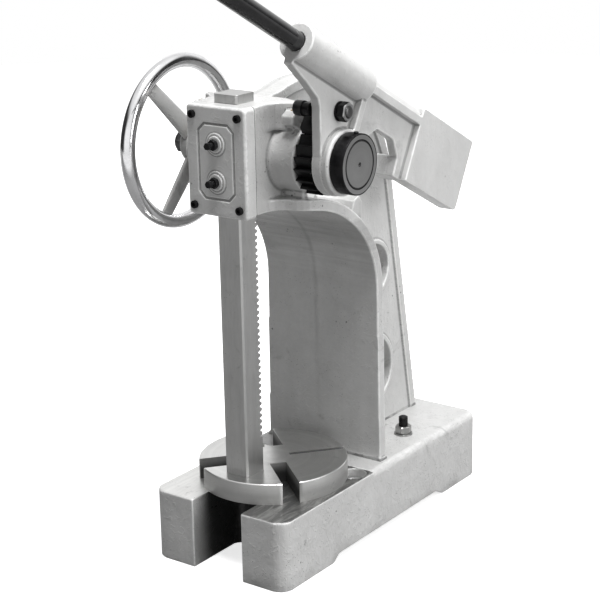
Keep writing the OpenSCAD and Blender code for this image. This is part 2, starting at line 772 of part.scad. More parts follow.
module ratchet_key() color(steel) on_shaft()
    translate([ratchet_x, -key_w / 2 + seat_gap, shaft_d / 2 - key_h / 2 + seat_gap])
        cube([ratchet_w, key_w - 2 * seat_gap, key_h - 2 * seat_gap]);
module handwheel_key() color(steel) on_shaft()
    translate([hub_face_x - hub_len, -wheel_key_w / 2 + seat_gap, seat_r - wheel_key_h / 2 + seat_gap])
        cube([hub_len, wheel_key_w - 2 * seat_gap, wheel_key_h - 2 * seat_gap]);

// The ratchet's steep faces look back against the pawl's push
module ratchet_outline() polygon([for (i = [0:ratchet_teeth - 1])
    let (a = nose_angle - lever_rise + ratchet_phase_angle + i * ratchet_pitch,
        b = a + ratchet_pitch * ratchet_land_share)
    each [ratchet_root * [cos(a), sin(a)], ratchet_r * [cos(a), sin(a)], ratchet_r * [cos(b), sin(b)]]]);

module ratchet_wheel() color(black) on_shaft() difference() {
    side_slab(ratchet_x, ratchet_x + ratchet_w) ratchet_outline();
    rod_x(ratchet_x - over, ratchet_x + ratchet_w + over, shaft_d / 2 + seat_gap);
    translate([ratchet_x - over, -key_w / 2, 0]) cube([ratchet_w + 2 * over, key_w, shaft_d / 2 + key_h / 2]);
}

module end_collar() color(black) on_shaft() difference() {
    rod_x(lever_out_x + collar_gap, shaft_end, collar_r);
    rod_x(lever_out_x, shaft_end + over, shaft_d / 2 + seat_gap);
    rod_x(shaft_end - end_groove, shaft_end + over, shaft_d / 2 + end_groove);
    translate([shaft_end - collar_screw_in, 0, shaft_d / 2 - over])
        cylinder(h = collar_r, r = collar_screw_r + seat_gap);
}
module collar_screw() color(black) on_shaft()
    translate([shaft_end - collar_screw_in, 0, shaft_d / 2 + side_gap]) {
    cylinder(h = collar_r - shaft_d / 2, r = collar_screw_r);
    translate([0, 0, collar_r - shaft_d / 2])
        cylinder(h = collar_screw_head_h, r = collar_screw_head_r);
}

// Handwheel

module rim_ring(grow) on_shaft() translate([rim_x, 0, 0]) rotate([0, 90, 0])
    rotate_extrude($fn = 128) translate([rim_centre_r, 0]) circle(rim_d / 2 + grow, $fn = 40);
module handwheel_rim() color(chrome) rim_ring(0);

module spoke() hull() {
    translate([hub_face_x - hub_len / 2, hub_r * spoke_root_share, 0]) rotate([-90, 0, 0])
        scale([spoke_t_hub, spoke_w_hub, 1]) cylinder(h = over, r = 1 / 2, $fn = post_fn);
    translate([rim_x, rim_centre_r - over, 0]) rotate([-90, 0, 0])
        scale([spoke_t_rim, spoke_w_rim, 1]) cylinder(h = over, r = 1 / 2, $fn = post_fn);
}
module handwheel_spider() color(paint) difference() {
    on_shaft() {
        rotate([0, -90, 0]) translate([0, 0, -hub_face_x]) rotate_extrude($fn = 96) polygon(
            [[0, 0], [hub_r - hub_edge, 0], [hub_r, hub_edge], [hub_r, hub_len - hub_edge_out],
            [hub_r - hub_edge_out, hub_len], [0, hub_len]]);
        for (a = spoke_angles) rotate([a, 0, 0]) spoke();
    }
    rim_ring(0);
    on_shaft() {
        rod_x(hub_face_x - hub_len - over, hub_face_x + over, seat_r + seat_gap);
        translate([hub_face_x - hub_len - over, -wheel_key_w / 2, 0])
            cube([hub_len + 2 * over, wheel_key_w, seat_r + wheel_key_h / 2]);
    }
}
wheel_out_x = hub_face_x - hub_len;
module handwheel_washer() color(steel) on_shaft() difference() {
    rod_x(wheel_out_x - wheel_washer_t, wheel_out_x, wheel_washer_r);
    rod_x(wheel_out_x - wheel_washer_t - over, wheel_out_x + over, thread_r + bolt_gap);
}
module handwheel_nut() color(black) on_shaft() difference() {
    hex_x(wheel_out_x - wheel_washer_t - wheel_nut_h, wheel_out_x - wheel_washer_t, wheel_nut_af);
    rod_x(wheel_out_x - wheel_washer_t - wheel_nut_h - over, wheel_out_x, thread_r + seat_gap);
}

// Lever

module tail_outline() polygon(rounded([[tail_u, tail_v, 0], [tail_u + tail_len, tail_v, tail_r],
    [tail_u + tail_len, tail_top_v, tail_top_r], [tail_u, tail_top_v, tail_top_r]]));

module along_u(u0, u1) translate([0, u0, 0]) rotate([-90, 0, 0]) linear_extrude(u1 - u0) mirror([0, 1])
    children();

module lever_body() {
    side_slab(lever_x, lever_face_x) {
        polygon(rounded(lever_outline));
        circle(hub_plate_r, $fn = 96);
    }
    side_slab(lever_x, lever_out_x) tail_outline();
    rod_x(lever_x, lever_out_x - hub_ring_edge, hub_ring_r);
    rod_x(lever_out_x - hub_ring_edge, lever_out_x, hub_ring_r, hub_ring_r - hub_ring_edge);
    // Bar socket with its closed, coned end, and the beam that carries it to the tail
    translate([bar_x, socket_u, bar_v]) rotate([-90, 0, 0]) {
        cylinder(h = socket_end_u - socket_u, r = socket_r);
        translate([0, 0, socket_end_u - socket_u])
            cylinder(h = socket_cone, r1 = socket_r, r2 = socket_r / 2);
    }
    along_u(ridge_u, tail_u - beam_gap) {
        mid = (lever_x + lever_out_x) / 2;
        half = (lever_out_x - lever_x) / 2;
        side = [[half, beam_v], [half, beam_v + beam_side_h],
            [half * beam_shares[0], beam_top_v - beam_shoulder],
            [half * beam_shares[1], beam_top_v - beam_crown]];
        polygon(concat([for (p = side) [mid + p[0], p[1]]],
            [for (p = reversed(side)) [mid - p[0], p[1]]]));
    }
    side_slab(lever_x, lever_out_x) translate([ridge_u, hub_plate_r * ridge_from_share])
        square([ridge_w, beam_v - hub_plate_r * ridge_from_share + over]);
    side_slab(lever_x, lever_out_x - beam_gap) translate([tail_u - beam_gap - over, beam_v])
        square([beam_gap + 2 * over, beam_gap_v - beam_v]);
    side_slab(lever_x, lever_out_x) translate([tail_u - beam_gap - over, beam_v])
        square([beam_gap + 2 * over, beam_gap_v - beam_v - beam_gap]);
    // Inward flange at the front of the tail
    side_slab(tail_flange_x, lever_x + over) polygon([[notch_back_u - over, tail_v],
        [tail_u + tail_flange_t, tail_v], [tail_u + tail_flange_t, tail_flange_v],
        [notch_back_u - over, tail_flange_v - tail_flange_slope]]);
    translate([0, pivot_u, pivot_v]) rod_x(pawl_x1 + side_gap, lever_face_x, pivot_boss_r);
}

module lever_casting() color(paint) in_lever() difference() {
    lever_body();
    rod_x(lever_x - over, lever_out_x + over, shaft_d / 2 + running_gap);
    translate([bar_x, socket_u - over, bar_v]) rotate([-90, 0, 0])
        cylinder(h = socket_bore_depth + over, r = bar_d / 2 + seat_gap);
    translate([0, pivot_u, pivot_v]) rod_x(pawl_x1, lever_face_x + over, pivot_r + seat_gap);
    translate([bar_x, bar_screw_u, bar_v + bar_d / 2 - over])
        cylinder(h = socket_r, r = bar_screw_r + seat_gap);
}

module lever_bar() color(black) in_lever() translate([bar_x, socket_u + socket_bore_depth - over, bar_v])
    rotate([90, 0, 0]) rotate_extrude($fn = 64) polygon(concat([[0, 0], [bar_d / 2, 0]],
        arc([bar_d / 2 - bar_end_r, bar_len - bar_end_r], bar_end_r, 0, 90, 5), [[0, bar_len]]));
module bar_screw() color(black) in_lever() translate([bar_x, bar_screw_u, bar_v + bar_d / 2])
    cylinder(h = bar_screw_len, r = bar_screw_r);

// Pawl, drawn with its nose seated in the wheel and turned out until it rides just clear of the tips

module pawl_nose() {
    out = [cos(nose_angle), sin(nose_angle)];
    back = [sin(nose_angle), -cos(nose_angle)];
    prev = nose_angle - ratchet_pitch * (1 - ratchet_land_share);
    tip = ratchet_r * [cos(prev), sin(prev)];
    root = ratchet_root * out;
    slope = unit(tip - root);
    lift = [slope[1], -slope[0]];
    clear = lift * out > 0 ? lift : -lift;
    polygon([root + out * nose_short + back * nose_gap,
        (ratchet_r + nose_shoulder) * out + back * nose_gap,
        [pivot_u - pawl_body_r, pivot_v - pawl_cheek], [pivot_u, pivot_v],
        [pivot_u + pawl_body_r * pawl_cheek_share, pivot_v - pawl_cheek],
        tip + slope * nose_heel + clear * nose_heel_gap, root + slope * nose_short + clear * nose_short]);
}

module about_pivot(a) translate([pivot_u, pivot_v]) rotate([0, 0, a])
    translate([-pivot_u, -pivot_v]) children();

module pawl() color(black) in_lever() difference() {
    union() {
        side_slab(pawl_x0, pawl_x1) {
            about_pivot(-pawl_ride_angle) pawl_nose();
            translate([pivot_u, pivot_v]) circle(pawl_body_r);
        }
        side_slab(pawl_x1 - pawl_arm_t, pawl_x1) hull() {
            translate([pivot_u, pivot_v]) circle(pawl_body_r - pawl_arm_edge, $fn = post_fn);
            translate([knob_u, knob_v]) circle(knob_r - knob_edge, $fn = post_fn);
        }
    }
    translate([0, pivot_u, pivot_v]) rod_x(pawl_x0 - over, pawl_x1 + over, pivot_r + running_gap);
}
module pawl_knob() color(black) in_lever() translate([0, knob_u, knob_v]) {
    x0 = pawl_x0 - knob_proud;
    x1 = pawl_x1 - pawl_arm_t;
    rod_x(x0, x0 + knob_edge, knob_r - knob_edge, knob_r);
    rod_x(x0 + knob_edge, x1, knob_r);
}
module pawl_pin() color(steel) in_lever() translate([0, pivot_u, pivot_v]) {
    rod_x(pawl_x0 - pin_head_t, pawl_x0 - side_gap, pin_head_r);
    rod_x(pawl_x0 - side_gap, lever_face_x + pawl_washer_t + pawl_nut_h + pin_spare, pivot_r);
}
module pawl_washer() color(black) in_lever() translate([0, pivot_u, pivot_v]) difference() {
    rod_x(lever_face_x, lever_face_x + pawl_washer_t, pawl_washer_r);
    rod_x(lever_face_x - over, lever_face_x + pawl_washer_t + over, pivot_r + bolt_gap);
}
module pawl_nut() color(black) in_lever() translate([0, pivot_u, pivot_v]) difference() {
    hex_x(lever_face_x + pawl_washer_t, lever_face_x + pawl_washer_t + pawl_nut_h, pawl_nut_af);
    rod_x(lever_face_x, lever_face_x + pawl_washer_t + pawl_nut_h + over, pivot_r + seat_gap);
}

base_casting();
column_casting();
column_studs();
column_washers();
column_nuts();
foot_bolts();
table_pivot_pin();
table_plate();
cover_plate();
cover_screws();
gib_strip();
gib_screws();
gib_lock_nuts();
oilers();
right_bush();
left_bush();
ram();
pinion_shaft();
ratchet_wheel();
ratchet_key();
end_collar();
collar_screw();
handwheel_rim();
handwheel_spider();
handwheel_key();
handwheel_washer();
handwheel_nut();
lever_casting();
lever_bar();
bar_screw();
pawl();
pawl_knob();
pawl_pin();
pawl_washer();
pawl_nut();
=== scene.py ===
"""Visual model of a ratchet arbor press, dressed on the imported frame. Lengths are in metres and angles in
degrees. Z is up, and the press faces -Y, with its ratchet lever on +X and its handwheel on -X."""
import bmesh
import bpy
import json
import math
import numpy as np
from mathutils import Matrix

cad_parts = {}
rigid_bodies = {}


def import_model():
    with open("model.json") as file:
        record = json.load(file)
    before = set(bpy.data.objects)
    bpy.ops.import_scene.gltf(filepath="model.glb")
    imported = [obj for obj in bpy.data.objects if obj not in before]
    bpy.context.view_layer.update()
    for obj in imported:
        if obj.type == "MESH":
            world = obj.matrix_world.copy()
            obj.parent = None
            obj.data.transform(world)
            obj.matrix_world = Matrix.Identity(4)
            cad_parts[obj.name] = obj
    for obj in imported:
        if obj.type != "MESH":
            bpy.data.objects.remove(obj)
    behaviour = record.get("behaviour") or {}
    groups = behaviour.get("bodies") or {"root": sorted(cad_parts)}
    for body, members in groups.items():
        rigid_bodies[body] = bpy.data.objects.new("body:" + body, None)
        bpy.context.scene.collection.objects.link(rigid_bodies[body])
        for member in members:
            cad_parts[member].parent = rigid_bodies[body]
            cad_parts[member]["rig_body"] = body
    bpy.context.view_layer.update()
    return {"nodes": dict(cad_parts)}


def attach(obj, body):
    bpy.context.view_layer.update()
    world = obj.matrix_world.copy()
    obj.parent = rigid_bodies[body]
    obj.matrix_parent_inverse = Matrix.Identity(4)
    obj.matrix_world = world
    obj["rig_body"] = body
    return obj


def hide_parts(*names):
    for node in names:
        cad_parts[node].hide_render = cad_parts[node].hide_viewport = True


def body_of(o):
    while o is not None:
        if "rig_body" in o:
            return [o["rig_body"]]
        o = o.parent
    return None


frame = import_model()

TAU = 2 * math.pi

# The press's axes, levels and edges
SHAFT_Y = 0.0628
SHAFT_Z = 0.745
LEVER_RISE = 28.0
PAWL_PIN_U = -0.040
PAWL_PIN_V = 0.076
TABLE_Y = 0.085
BASE_TOP = 0.133
BASE_FRONT = -0.086
SLOT_HALF = 0.0545
SLOT_END = 0.050
SEAT_TOP = 0.1318
SEAT_END = 0.197
PLATE_TOP = 0.1708
PLATE_RADIUS = 0.1365
THROAT_FACE = 0.250
HEAD_LOW = 0.625
HEAD_HIGH = 0.838

# Where the parting line runs up the throat
FOLD_X = -0.012

# The camera, found from the straight edges of the base and the table plate in the photograph
PHOTO_WIDTH_PX = 600.0
FOCAL_PX = 1674.93
CAMERA_SPOT = (1.73357, -2.19519, 1.34428)
CAMERA_AZIMUTH = 36.1543
CAMERA_ELEVATION = 17.0
CAMERA_ROLL = -1.0963
SENSOR_MM = 36.0

# The room. AWAY is the level direction from its front, where the camera stands, to its back.
AWAY = (-0.45, 0.89)
ROOM_MIDDLE = (0.0, 0.2, 0.45)
FLOOR_RADIUS = 6.0
FLOOR_DROP = 0.0004
WHITE = (1.0, 1.0, 1.0, 1.0)


# Places of lathe coordinates and of the lever

def frame_x(x, y, z):
    """Places lathe coordinates, which run along an axis and in two directions square to it, about an axis
    along +X through (x, y, z)."""
    return lambda along, side, rise: np.stack([x + along, y + side, z + rise], -1)


def frame_y(x, y, z):
    """The same about an axis along +Y."""
    return lambda along, side, rise: np.stack([x + rise, y + along, z + side], -1)


def frame_z(x, y, z):
    """The same about an axis along +Z."""
    return lambda along, side, rise: np.stack([x + side, y + rise, z + along], -1)


def lever_point(x, u, v):
    """A point of the lever: u runs along it to the tail and v square to it, both turned down by its rise."""
    c, s = math.cos(math.radians(LEVER_RISE)), math.sin(math.radians(LEVER_RISE))
    return np.stack([x + 0 * u, SHAFT_Y + u * c + v * s, SHAFT_Z - u * s + v * c], -1)


def lever_axis_x(u0, v0):
    """The same about an axis along +X through the lever's point (u0, v0)."""
    return lambda along, side, rise: lever_point(along, u0 + side, v0 + rise)


# Node wiring

class Wire:
    """What comes out of a node. Its arithmetic adds Math nodes, so that a finish reads as a formula."""

    def __init__(self, net, socket):
        self.net = net
        self.socket = socket

    def __add__(self, other):
        return self.net.math("ADD", self, other)

    def __sub__(self, other):
        return self.net.math("SUBTRACT", self, other)

    def __rsub__(self, other):
        return self.net.math("SUBTRACT", other, self)

    def __mul__(self, other):
        return self.net.math("MULTIPLY", self, other)

    def __abs__(self):
        return self.net.math("ABSOLUTE", self)

    __radd__ = __add__
    __rmul__ = __mul__

    def larger(self, other):
        """The larger of the two."""
        return self.net.math("MAXIMUM", self, other)

    def clamped(self):
        """The same sum, held between 0 and 1."""
        self.socket.node.use_clamp = True
        return self

    def ramp(self, low, high, to_low=0.0, to_high=1.0):
        """A smooth step from to_low, where this is low, to to_high, where it is high."""
        node = self.net.nodes.new("ShaderNodeMapRange")
        node.interpolation_type = "SMOOTHSTEP"
        self.net.fill(node, Value=self, From_Min=low, From_Max=high, To_Min=to_low, To_Max=to_high)
        return self.net.out(node, "Result")

    def choose(self, off, on):
        """off where this mask is 0 and on where it is 1."""
        return self.ramp(0.0, 1.0, off, on)


class Net:
    """Adds nodes to one node tree. A number, a colour or a wire may be given wherever a value goes."""

    def __init__(self, tree):
        self.tree = tree
        self.nodes = tree.nodes
        self.links = tree.links

    def feed(self, socket, value):
        """Links a wire to the socket, or sets a plain value on it."""
        if isinstance(value, Wire):
            self.links.new(value.socket, socket)
        else:
            socket.default_value = value

    def fill(self, node, *in_order, **named):
        """Feeds a node's inputs by their order, or by name with an underscore for a space."""
        for socket, value in zip(node.inputs, in_order):
            self.feed(socket, value)
        for label, value in named.items():
            self.feed(node.inputs[label.replace("_", " ")], value)
        return node

    def add(self, kind, *in_order, **named):
        """A new shader node of that kind, filled."""
        return self.fill(self.nodes.new("ShaderNode" + kind), *in_order, **named)

    def out(self, node, which=0):
        """The node's output of that number or name."""
        return Wire(self, node.outputs[which])

    def math(self, kind, *values):
        """A Math node of that kind, such as ADD."""
        node = self.add("Math", *values)
        node.operation = kind
        return self.out(node)

    def coords(self, which="Object"):
        """The texture coordinates of that kind."""
        return self.out(self.add("TexCoord"), which)

    def split(self, vector):
        """The x, y and z of a vector."""
        return [Wire(self, socket) for socket in self.add("SeparateXYZ", vector).outputs]

    def join(self, *parts):
        """A vector of the parts, with 0 for what isn't given."""
        return self.out(self.add("CombineXYZ", *parts))

    def grey(self, amount):
        """The amount as a colour."""
        return self.out(self.add("CombineColor", amount, amount, amount))

    def stretch(self, vector, scale, spot=(0, 0, 0), turn=(0, 0, 0)):
        """A vector scaled, turned by angles and then moved to the spot."""
        turn = [math.radians(angle) for angle in turn]
        return self.out(self.add("Mapping", Vector=vector, Location=spot, Rotation=turn, Scale=scale))

    def about(self, vector, axis, centre):
        """The distance from an axis along X or Z through the centre, and the place along it."""
        x, y, z = self.split(self.stretch(vector, (1, 1, 1), [-c for c in centre]))
        a, b, along = (x, y, z) if axis == "Z" else (y, z, x)
        return self.math("SQRT", a * a + b * b), along

    def noise(self, vector, scale, detail=3.0, rough=0.55, distort=0.0):
        """A cloudy pattern from 0 to 1."""
        node = self.add("TexNoise", Vector=vector, Scale=scale, Detail=detail, Roughness=rough,
                        Distortion=distort)
        return self.out(node, "Fac")

    def cells(self, vector, scale):
        """The distance to the nearest of scattered points."""
        return self.out(self.add("TexVoronoi", Vector=vector, Scale=scale), "Distance")

    def blend(self, mask, first, second, kind="MIX"):
        """The first colour where the mask is 0 and the second, or their product, where it is 1."""
        node = self.nodes.new("ShaderNodeMix")
        node.data_type = "RGBA"
        node.blend_type = kind
        self.feed(node.inputs["Factor"], mask)
        for label, value in (("A", first), ("B", second)):
            self.feed([s for s in node.inputs if s.name == label and s.type == "RGBA"][0], value)
        return Wire(self, [s for s in node.outputs if s.type == "RGBA"][0])

    def shade(self, colour, amount):
        """The colour times a grey amount."""
        return self.blend(1.0, colour, self.grey(amount), "MULTIPLY")

    def bump(self, height, strength, distance):
        """The normals of a surface raised by the height times the distance."""
        node = self.add("Bump", Height=height, Strength=strength, Distance=distance)
        return self.out(node, "Normal")

    def use(self, tree, **given):
        """The results of a node group, by name."""
        node = self.nodes.new("ShaderNodeGroup")
        node.node_tree = tree
        self.fill(node, **given)
        return {socket.name: Wire(self, socket) for socket in node.outputs}

    def pick(self, mask, first, second):
        """The first shader where the mask is 0 and the second where it is 1."""
        return self.out(self.add("MixShader", mask, first, second))

    def both(self, first, second):
        """Two shaders added."""
        return self.out(self.add("AddShader", first, second))

    def end(self, kind, surface):
        """The output node, with the shader that goes into it."""
        self.add(kind, Surface=surface)


# Camera, lamps and floor

def stand(thing, side, rise, back, spot):
    """Links a camera or lamp and places it: it looks against back, with side to its right and rise upward."""
    bpy.context.scene.collection.objects.link(thing)
    rows = [[side[i], rise[i], back[i], spot[i]] for i in range(3)]
    thing.matrix_world = Matrix(rows + [[0, 0, 0, 1]])


def aim_camera():
    """A long lens at the photograph's station: the view direction comes from its azimuth and elevation, and
    the picture's right and up vectors are those of a level camera turned by the small roll."""
    azimuth, elevation, roll = np.radians([CAMERA_AZIMUTH, CAMERA_ELEVATION, CAMERA_ROLL])
    back = np.array([math.sin(azimuth) * math.cos(elevation), -math.cos(azimuth) * math.cos(elevation),
                     math.sin(elevation)])
    level = np.array([math.cos(azimuth), math.sin(azimuth), 0.0])
    rise = np.cross(back, level)
    right = math.cos(roll) * level + math.sin(roll) * rise
    up = -math.sin(roll) * level + math.cos(roll) * rise
    data = bpy.data.cameras.new("press_camera")
    data.sensor_width = SENSOR_MM
    data.lens = SENSOR_MM * FOCAL_PX / PHOTO_WIDTH_PX
    data.clip_end = 50.0
    camera = bpy.data.objects.new("press_camera", data)
    stand(camera, right, up, back, CAMERA_SPOT)
    bpy.context.scene.camera = camera
    bpy.context.scene.view_settings.view_transform = "Standard"


def area_lamp(name, spot, size, power):
    """A square lamp at the spot that faces the middle of the room."""
    data = bpy.data.lights.new(name, "AREA")
    data.shape = "SQUARE"
    data.size = size
    data.energy = power
    look = np.array(ROOM_MIDDLE, float) - np.array(spot, float)
    back = -look / np.linalg.norm(look)
    side = np.cross([0.0, 0.0, 1.0], back)
    side /= np.linalg.norm(side)
    stand(bpy.data.objects.new(name, data), side, np.cross(back, side), back, spot)


def light_studio():
    """A dim room with one large lamp overhead and one beside the lever. The camera sees white. Matt surfaces
    feel a grey that grows with how far the ray points to the back of the press, and gives way with height to
    one that grows with X. Gloss sees a white wall behind the press, a white one in front of it and dark ones
    between, under a white ceiling."""
    world = bpy.data.worlds.new("studio")
    bpy.context.scene.world = world
    world.use_nodes = True
    net = Net(world.node_tree)
    net.nodes.clear()
    x, y, z = net.split(net.coords("Generated"))
    away = x * AWAY[0] + y * AWAY[1]
    path = net.add("LightPath")
    gloss = net.out(path, "Is Glossy Ray")
    shiny_wall = away.ramp(-0.55, -0.88).larger(away.ramp(0.45, 0.80, 0.03, 1.0))
    wall = net.blend(gloss, away.ramp(-0.20, 0.75, 0.25, 0.75), shiny_wall)
    ceiling = x.ramp(-0.6, 0.8, gloss.choose(0.24, 0.80), gloss.choose(0.42, 1.10))
    high = z.ramp(gloss.choose(0.25, 0.45), gloss.choose(0.80, 0.75))
    room = net.grey(wall * (1.0 - high) + ceiling * high)
    felt = net.out(net.add("Background", Color=room, Strength=1.0))
    seen = net.out(net.add("Background", Color=WHITE, Strength=1.0))
    net.end("OutputWorld", net.pick(net.out(path, "Is Camera Ray"), felt, seen))
    area_lamp("key_above", (0.9, -0.3, 5.2), size=2.0, power=280)
    area_lamp("fill_right", (4.2, 0.5, 1.5), size=2.2, power=84)


def lay_floor():
    """A wide flat disc just under the feet. The camera sees it white where no shadow falls. Matt surfaces
    feel it grey, and gloss also sees it pale in front of the press and in a band close behind it. From below
    it isn't there."""
    turn = np.linspace(0, TAU, 96, endpoint=False)
    ring = np.stack([FLOOR_RADIUS * np.cos(turn), FLOOR_RADIUS * np.sin(turn), 0 * turn - FLOOR_DROP], 1)
    mesh = bpy.data.meshes.new("floor")
    mesh.from_pydata(ring.tolist(), [], [list(range(len(ring)))])
    floor = bpy.data.objects.new("floor", mesh)
    bpy.context.scene.collection.objects.link(floor)
    mat = bpy.data.materials.new("floor_white")
    mat.use_nodes = True
    net = Net(mat.node_tree)
    net.nodes.clear()
    x, y, _ = net.split(net.coords())
    away = x * AWAY[0] + y * AWAY[1]
    path = net.add("LightPath")
    pale = net.out(net.add("BsdfDiffuse", Color=(0.9, 0.9, 0.9, 1)))
    glow = net.out(net.add("Emission", Color=WHITE, Strength=abs(away).ramp(1.0, 3.0, 0.72, 1.0)))
    dull = net.out(net.add("BsdfDiffuse", Color=(0.26, 0.26, 0.26, 1)))
    in_front = away.ramp(-0.9, -1.7, 0.0, 0.7)
    behind = away.ramp(0.3, 1.1, 0.0, 0.5) * away.ramp(2.1, 1.6)
    shine = net.out(net.add("Emission", Strength=in_front.larger(behind) * net.out(path, "Is Glossy Ray")))
    top = net.pick(net.out(path, "Is Camera Ray"), net.both(dull, shine), net.both(pale, glow))
    from_below = net.out(net.add("NewGeometry"), "Backfacing")
    net.end("OutputMaterial", net.pick(from_below, top, net.out(net.add("BsdfTransparent"))))
    mesh.materials.append(mat)


# Shader groups. Each gives a colour, a roughness and a height for the bump.

def open_group(name, **inputs):
    """A shader group's net and its inputs. An input is given as None for a vector, as four numbers for a
    colour and as one for a grey value."""
    tree = bpy.data.node_groups.new(name, "ShaderNodeTree")
    for label, value in inputs.items():
        kind = "Vector" if value is None else "Color" if isinstance(value, tuple) else "Float"
        socket = tree.interface.new_socket(name=label, in_out="INPUT", socket_type="NodeSocket" + kind)
        if value is not None:
            socket.default_value = value
    for label, kind in (("Colour", "Color"), ("Roughness", "Float"), ("Height", "Float")):
        tree.interface.new_socket(name=label, in_out="OUTPUT", socket_type="NodeSocket" + kind)
    net = Net(tree)
    node = net.nodes.new("NodeGroupInput")
    return net, [net.out(node, label) for label in inputs]


def close_group(net, colour, rough, height):
    """Ends a group with its three results, and gives the group."""
    net.fill(net.nodes.new("NodeGroupOutput"), Colour=colour, Roughness=rough, Height=height)
    return net.tree


def group_cast_skin():
    """Painted sand casting: a broad cloudy tone with runs and fine mottling, small pits and specks, rubbed
    stains, paint worn pale with a painted highlight on outer edges and grime with painted shade in inner
    ones, over a wavy, lumpy and grainy bump. The tone is a sum of shares of the colour."""
    net, (coords, colour, grain, dirt, edge) = open_group(
        "cast_skin", Coords=None, Colour=(0.6, 0.6, 0.6, 1), Grain=1.0, Dirt=1.0, Edge=0.0)
    cloud = net.noise(coords, 5.0, 4.0, 0.6)
    patch = net.noise(coords, 21.0, 4.0, 0.65, 0.6)
    mottle = net.noise(coords, 120.0, 3.0, 0.65, 0.8)
    runs = net.noise(net.stretch(coords, (30, 30, 4)), 1.0, 3.0, 0.6)
    field = net.noise(net.stretch(coords, (1, 1, 1), (3.1, 1.7, 0.4)), 17.0, 2.0, 0.5)
    pits = net.cells(coords, 62.0).ramp(0.16, 0.05) * field.ramp(0.56, 0.66)
    specks = net.cells(coords, 190.0).ramp(0.20, 0.08) * field.ramp(0.50, 0.62)
    marks = pits.larger(specks * 0.7) * dirt
    rubbed = net.noise(coords, 9.0, 6.0, 0.72, 1.2).ramp(0.58, 0.76) * dirt
    # outer edges lighter: worn paint with a painted highlight
    wear_and_highlight = edge.ramp(0.15, 0.9) * patch.ramp(0.30, 0.62, 0.45, 1.0)
    # inner edges darker: grime with painted shade
    grime_and_shade = (edge * -1.0).ramp(0.12, 0.9)
    tone = (cloud - 0.5) * 0.26 + (patch - 0.5) * 0.22 + (mottle - 0.5) * (grain * 0.11) + (runs - 0.5) * 0.18
    tone = tone - marks * 0.62 - rubbed * 0.30 + wear_and_highlight * 0.38 - grime_and_shade * 0.50
    rough = (patch.ramp(0.3, 0.7, 0.30, 0.44) + marks * 0.3 + rubbed * 0.16).clamped()
    sand = net.noise(coords, 420.0, 3.0, 0.6) * 0.35
    peel = net.noise(coords, 110.0, 3.0, 0.5) * 1.3
    wave = net.noise(coords, 34.0, 3.0, 0.5, 0.5) * 3.4
    lumps = net.noise(coords, 58.0, 2.0, 0.5, 2.2).ramp(0.56, 0.70) * 1.5
    height = (sand + peel + wave + lumps) * grain - marks * 1.2
    return close_group(net, net.shade(colour, tone + 1.0), rough, height)


def group_cut_metal():
    """Bare machined steel: tool marks from coordinates that run slowly along the cut and fast across it,
    light scratches, and thin grey staining."""
    net, (coords, marks, colour, roughness, dirt) = open_group(
        "cut_metal", Coords=None, Marks=None, Colour=(0.5, 0.5, 0.5, 1), Roughness=0.3, Stain=1.0)
    fine = net.noise(marks, 1.0, 4.0, 0.75)
    broad = net.noise(marks, 0.16, 2.0, 0.5)
    cloud = net.noise(coords, 12.0, 4.0, 0.65)
    stain = net.noise(coords, 30.0, 5.0, 0.7, 0.8).ramp(0.58, 0.76) * dirt
    specks = net.cells(coords, 150.0).ramp(0.16, 0.06) * dirt * cloud.ramp(0.50, 0.62)
    tone = (fine - 0.5) * 0.34 + (broad - 0.5) * 0.24 + (cloud - 0.5) * 0.30 - stain * 0.20 - specks * 0.45
    rough = (roughness + (fine - 0.5) * 0.16 + stain * 0.22 + specks * 0.3).clamped()
    return close_group(net, net.shade(colour, tone + 1.0), rough, fine + broad * 0.6)


def group_black_skin():
    """Blackened steel: near black with oily clouding and dust in patches."""
    net, (coords, colour, amount) = open_group(
        "black_skin", Coords=None, Colour=(0.02, 0.02, 0.022, 1), Dust=0.5)
    cloud = net.noise(coords, 40.0, 4.0, 0.65)
    dust = net.noise(coords, 75.0, 5.0, 0.7).ramp(0.52, 0.74) * amount
    tone = cloud.ramp(0.3, 0.7, 0.65, 1.5) + dust * 1.6
    rough = (cloud.ramp(0.3, 0.7, 0.28, 0.44) + dust * 0.25).clamped()
    return close_group(net, net.shade(colour, tone), rough, net.noise(coords, 600.0, 3.0, 0.6))


CAST_SKIN = group_cast_skin()
CUT_METAL = group_cut_metal()
BLACK_SKIN = group_black_skin()


# Finishes

def start_material(name):
    """A material with its net, its Principled shader and the piece's own coordinates."""
    mat = bpy.data.materials.new(name)
    mat.use_nodes = True
    net = Net(mat.node_tree)
    shader = [node for node in net.nodes if node.type == "BSDF_PRINCIPLED"][0]
    return mat, net, shader, net.coords()


def foot_line(net, coords, tone):
    """A broken dark line where the column's foot meets the base: grime with painted contact shade."""
    blur = (net.noise(coords, 55.0, 4.0, 0.7) - 0.5) * 0.006
    level = net.split(coords)[2] + blur
    low, high = BASE_TOP - 0.0005, BASE_TOP + 0.0040
    # dark band just above the base's top: grime with painted contact shade
    grime_and_shade_band = level.ramp(low - 0.0012, low) * level.ramp(high, high + 0.002, 1.0, 0.0)
    thin = net.noise(coords, 24.0, 3.0, 0.6).ramp(0.35, 0.60, 0.35, 1.0)
    return net.shade(tone, 1.0 - grime_and_shade_band * thin * 0.7)


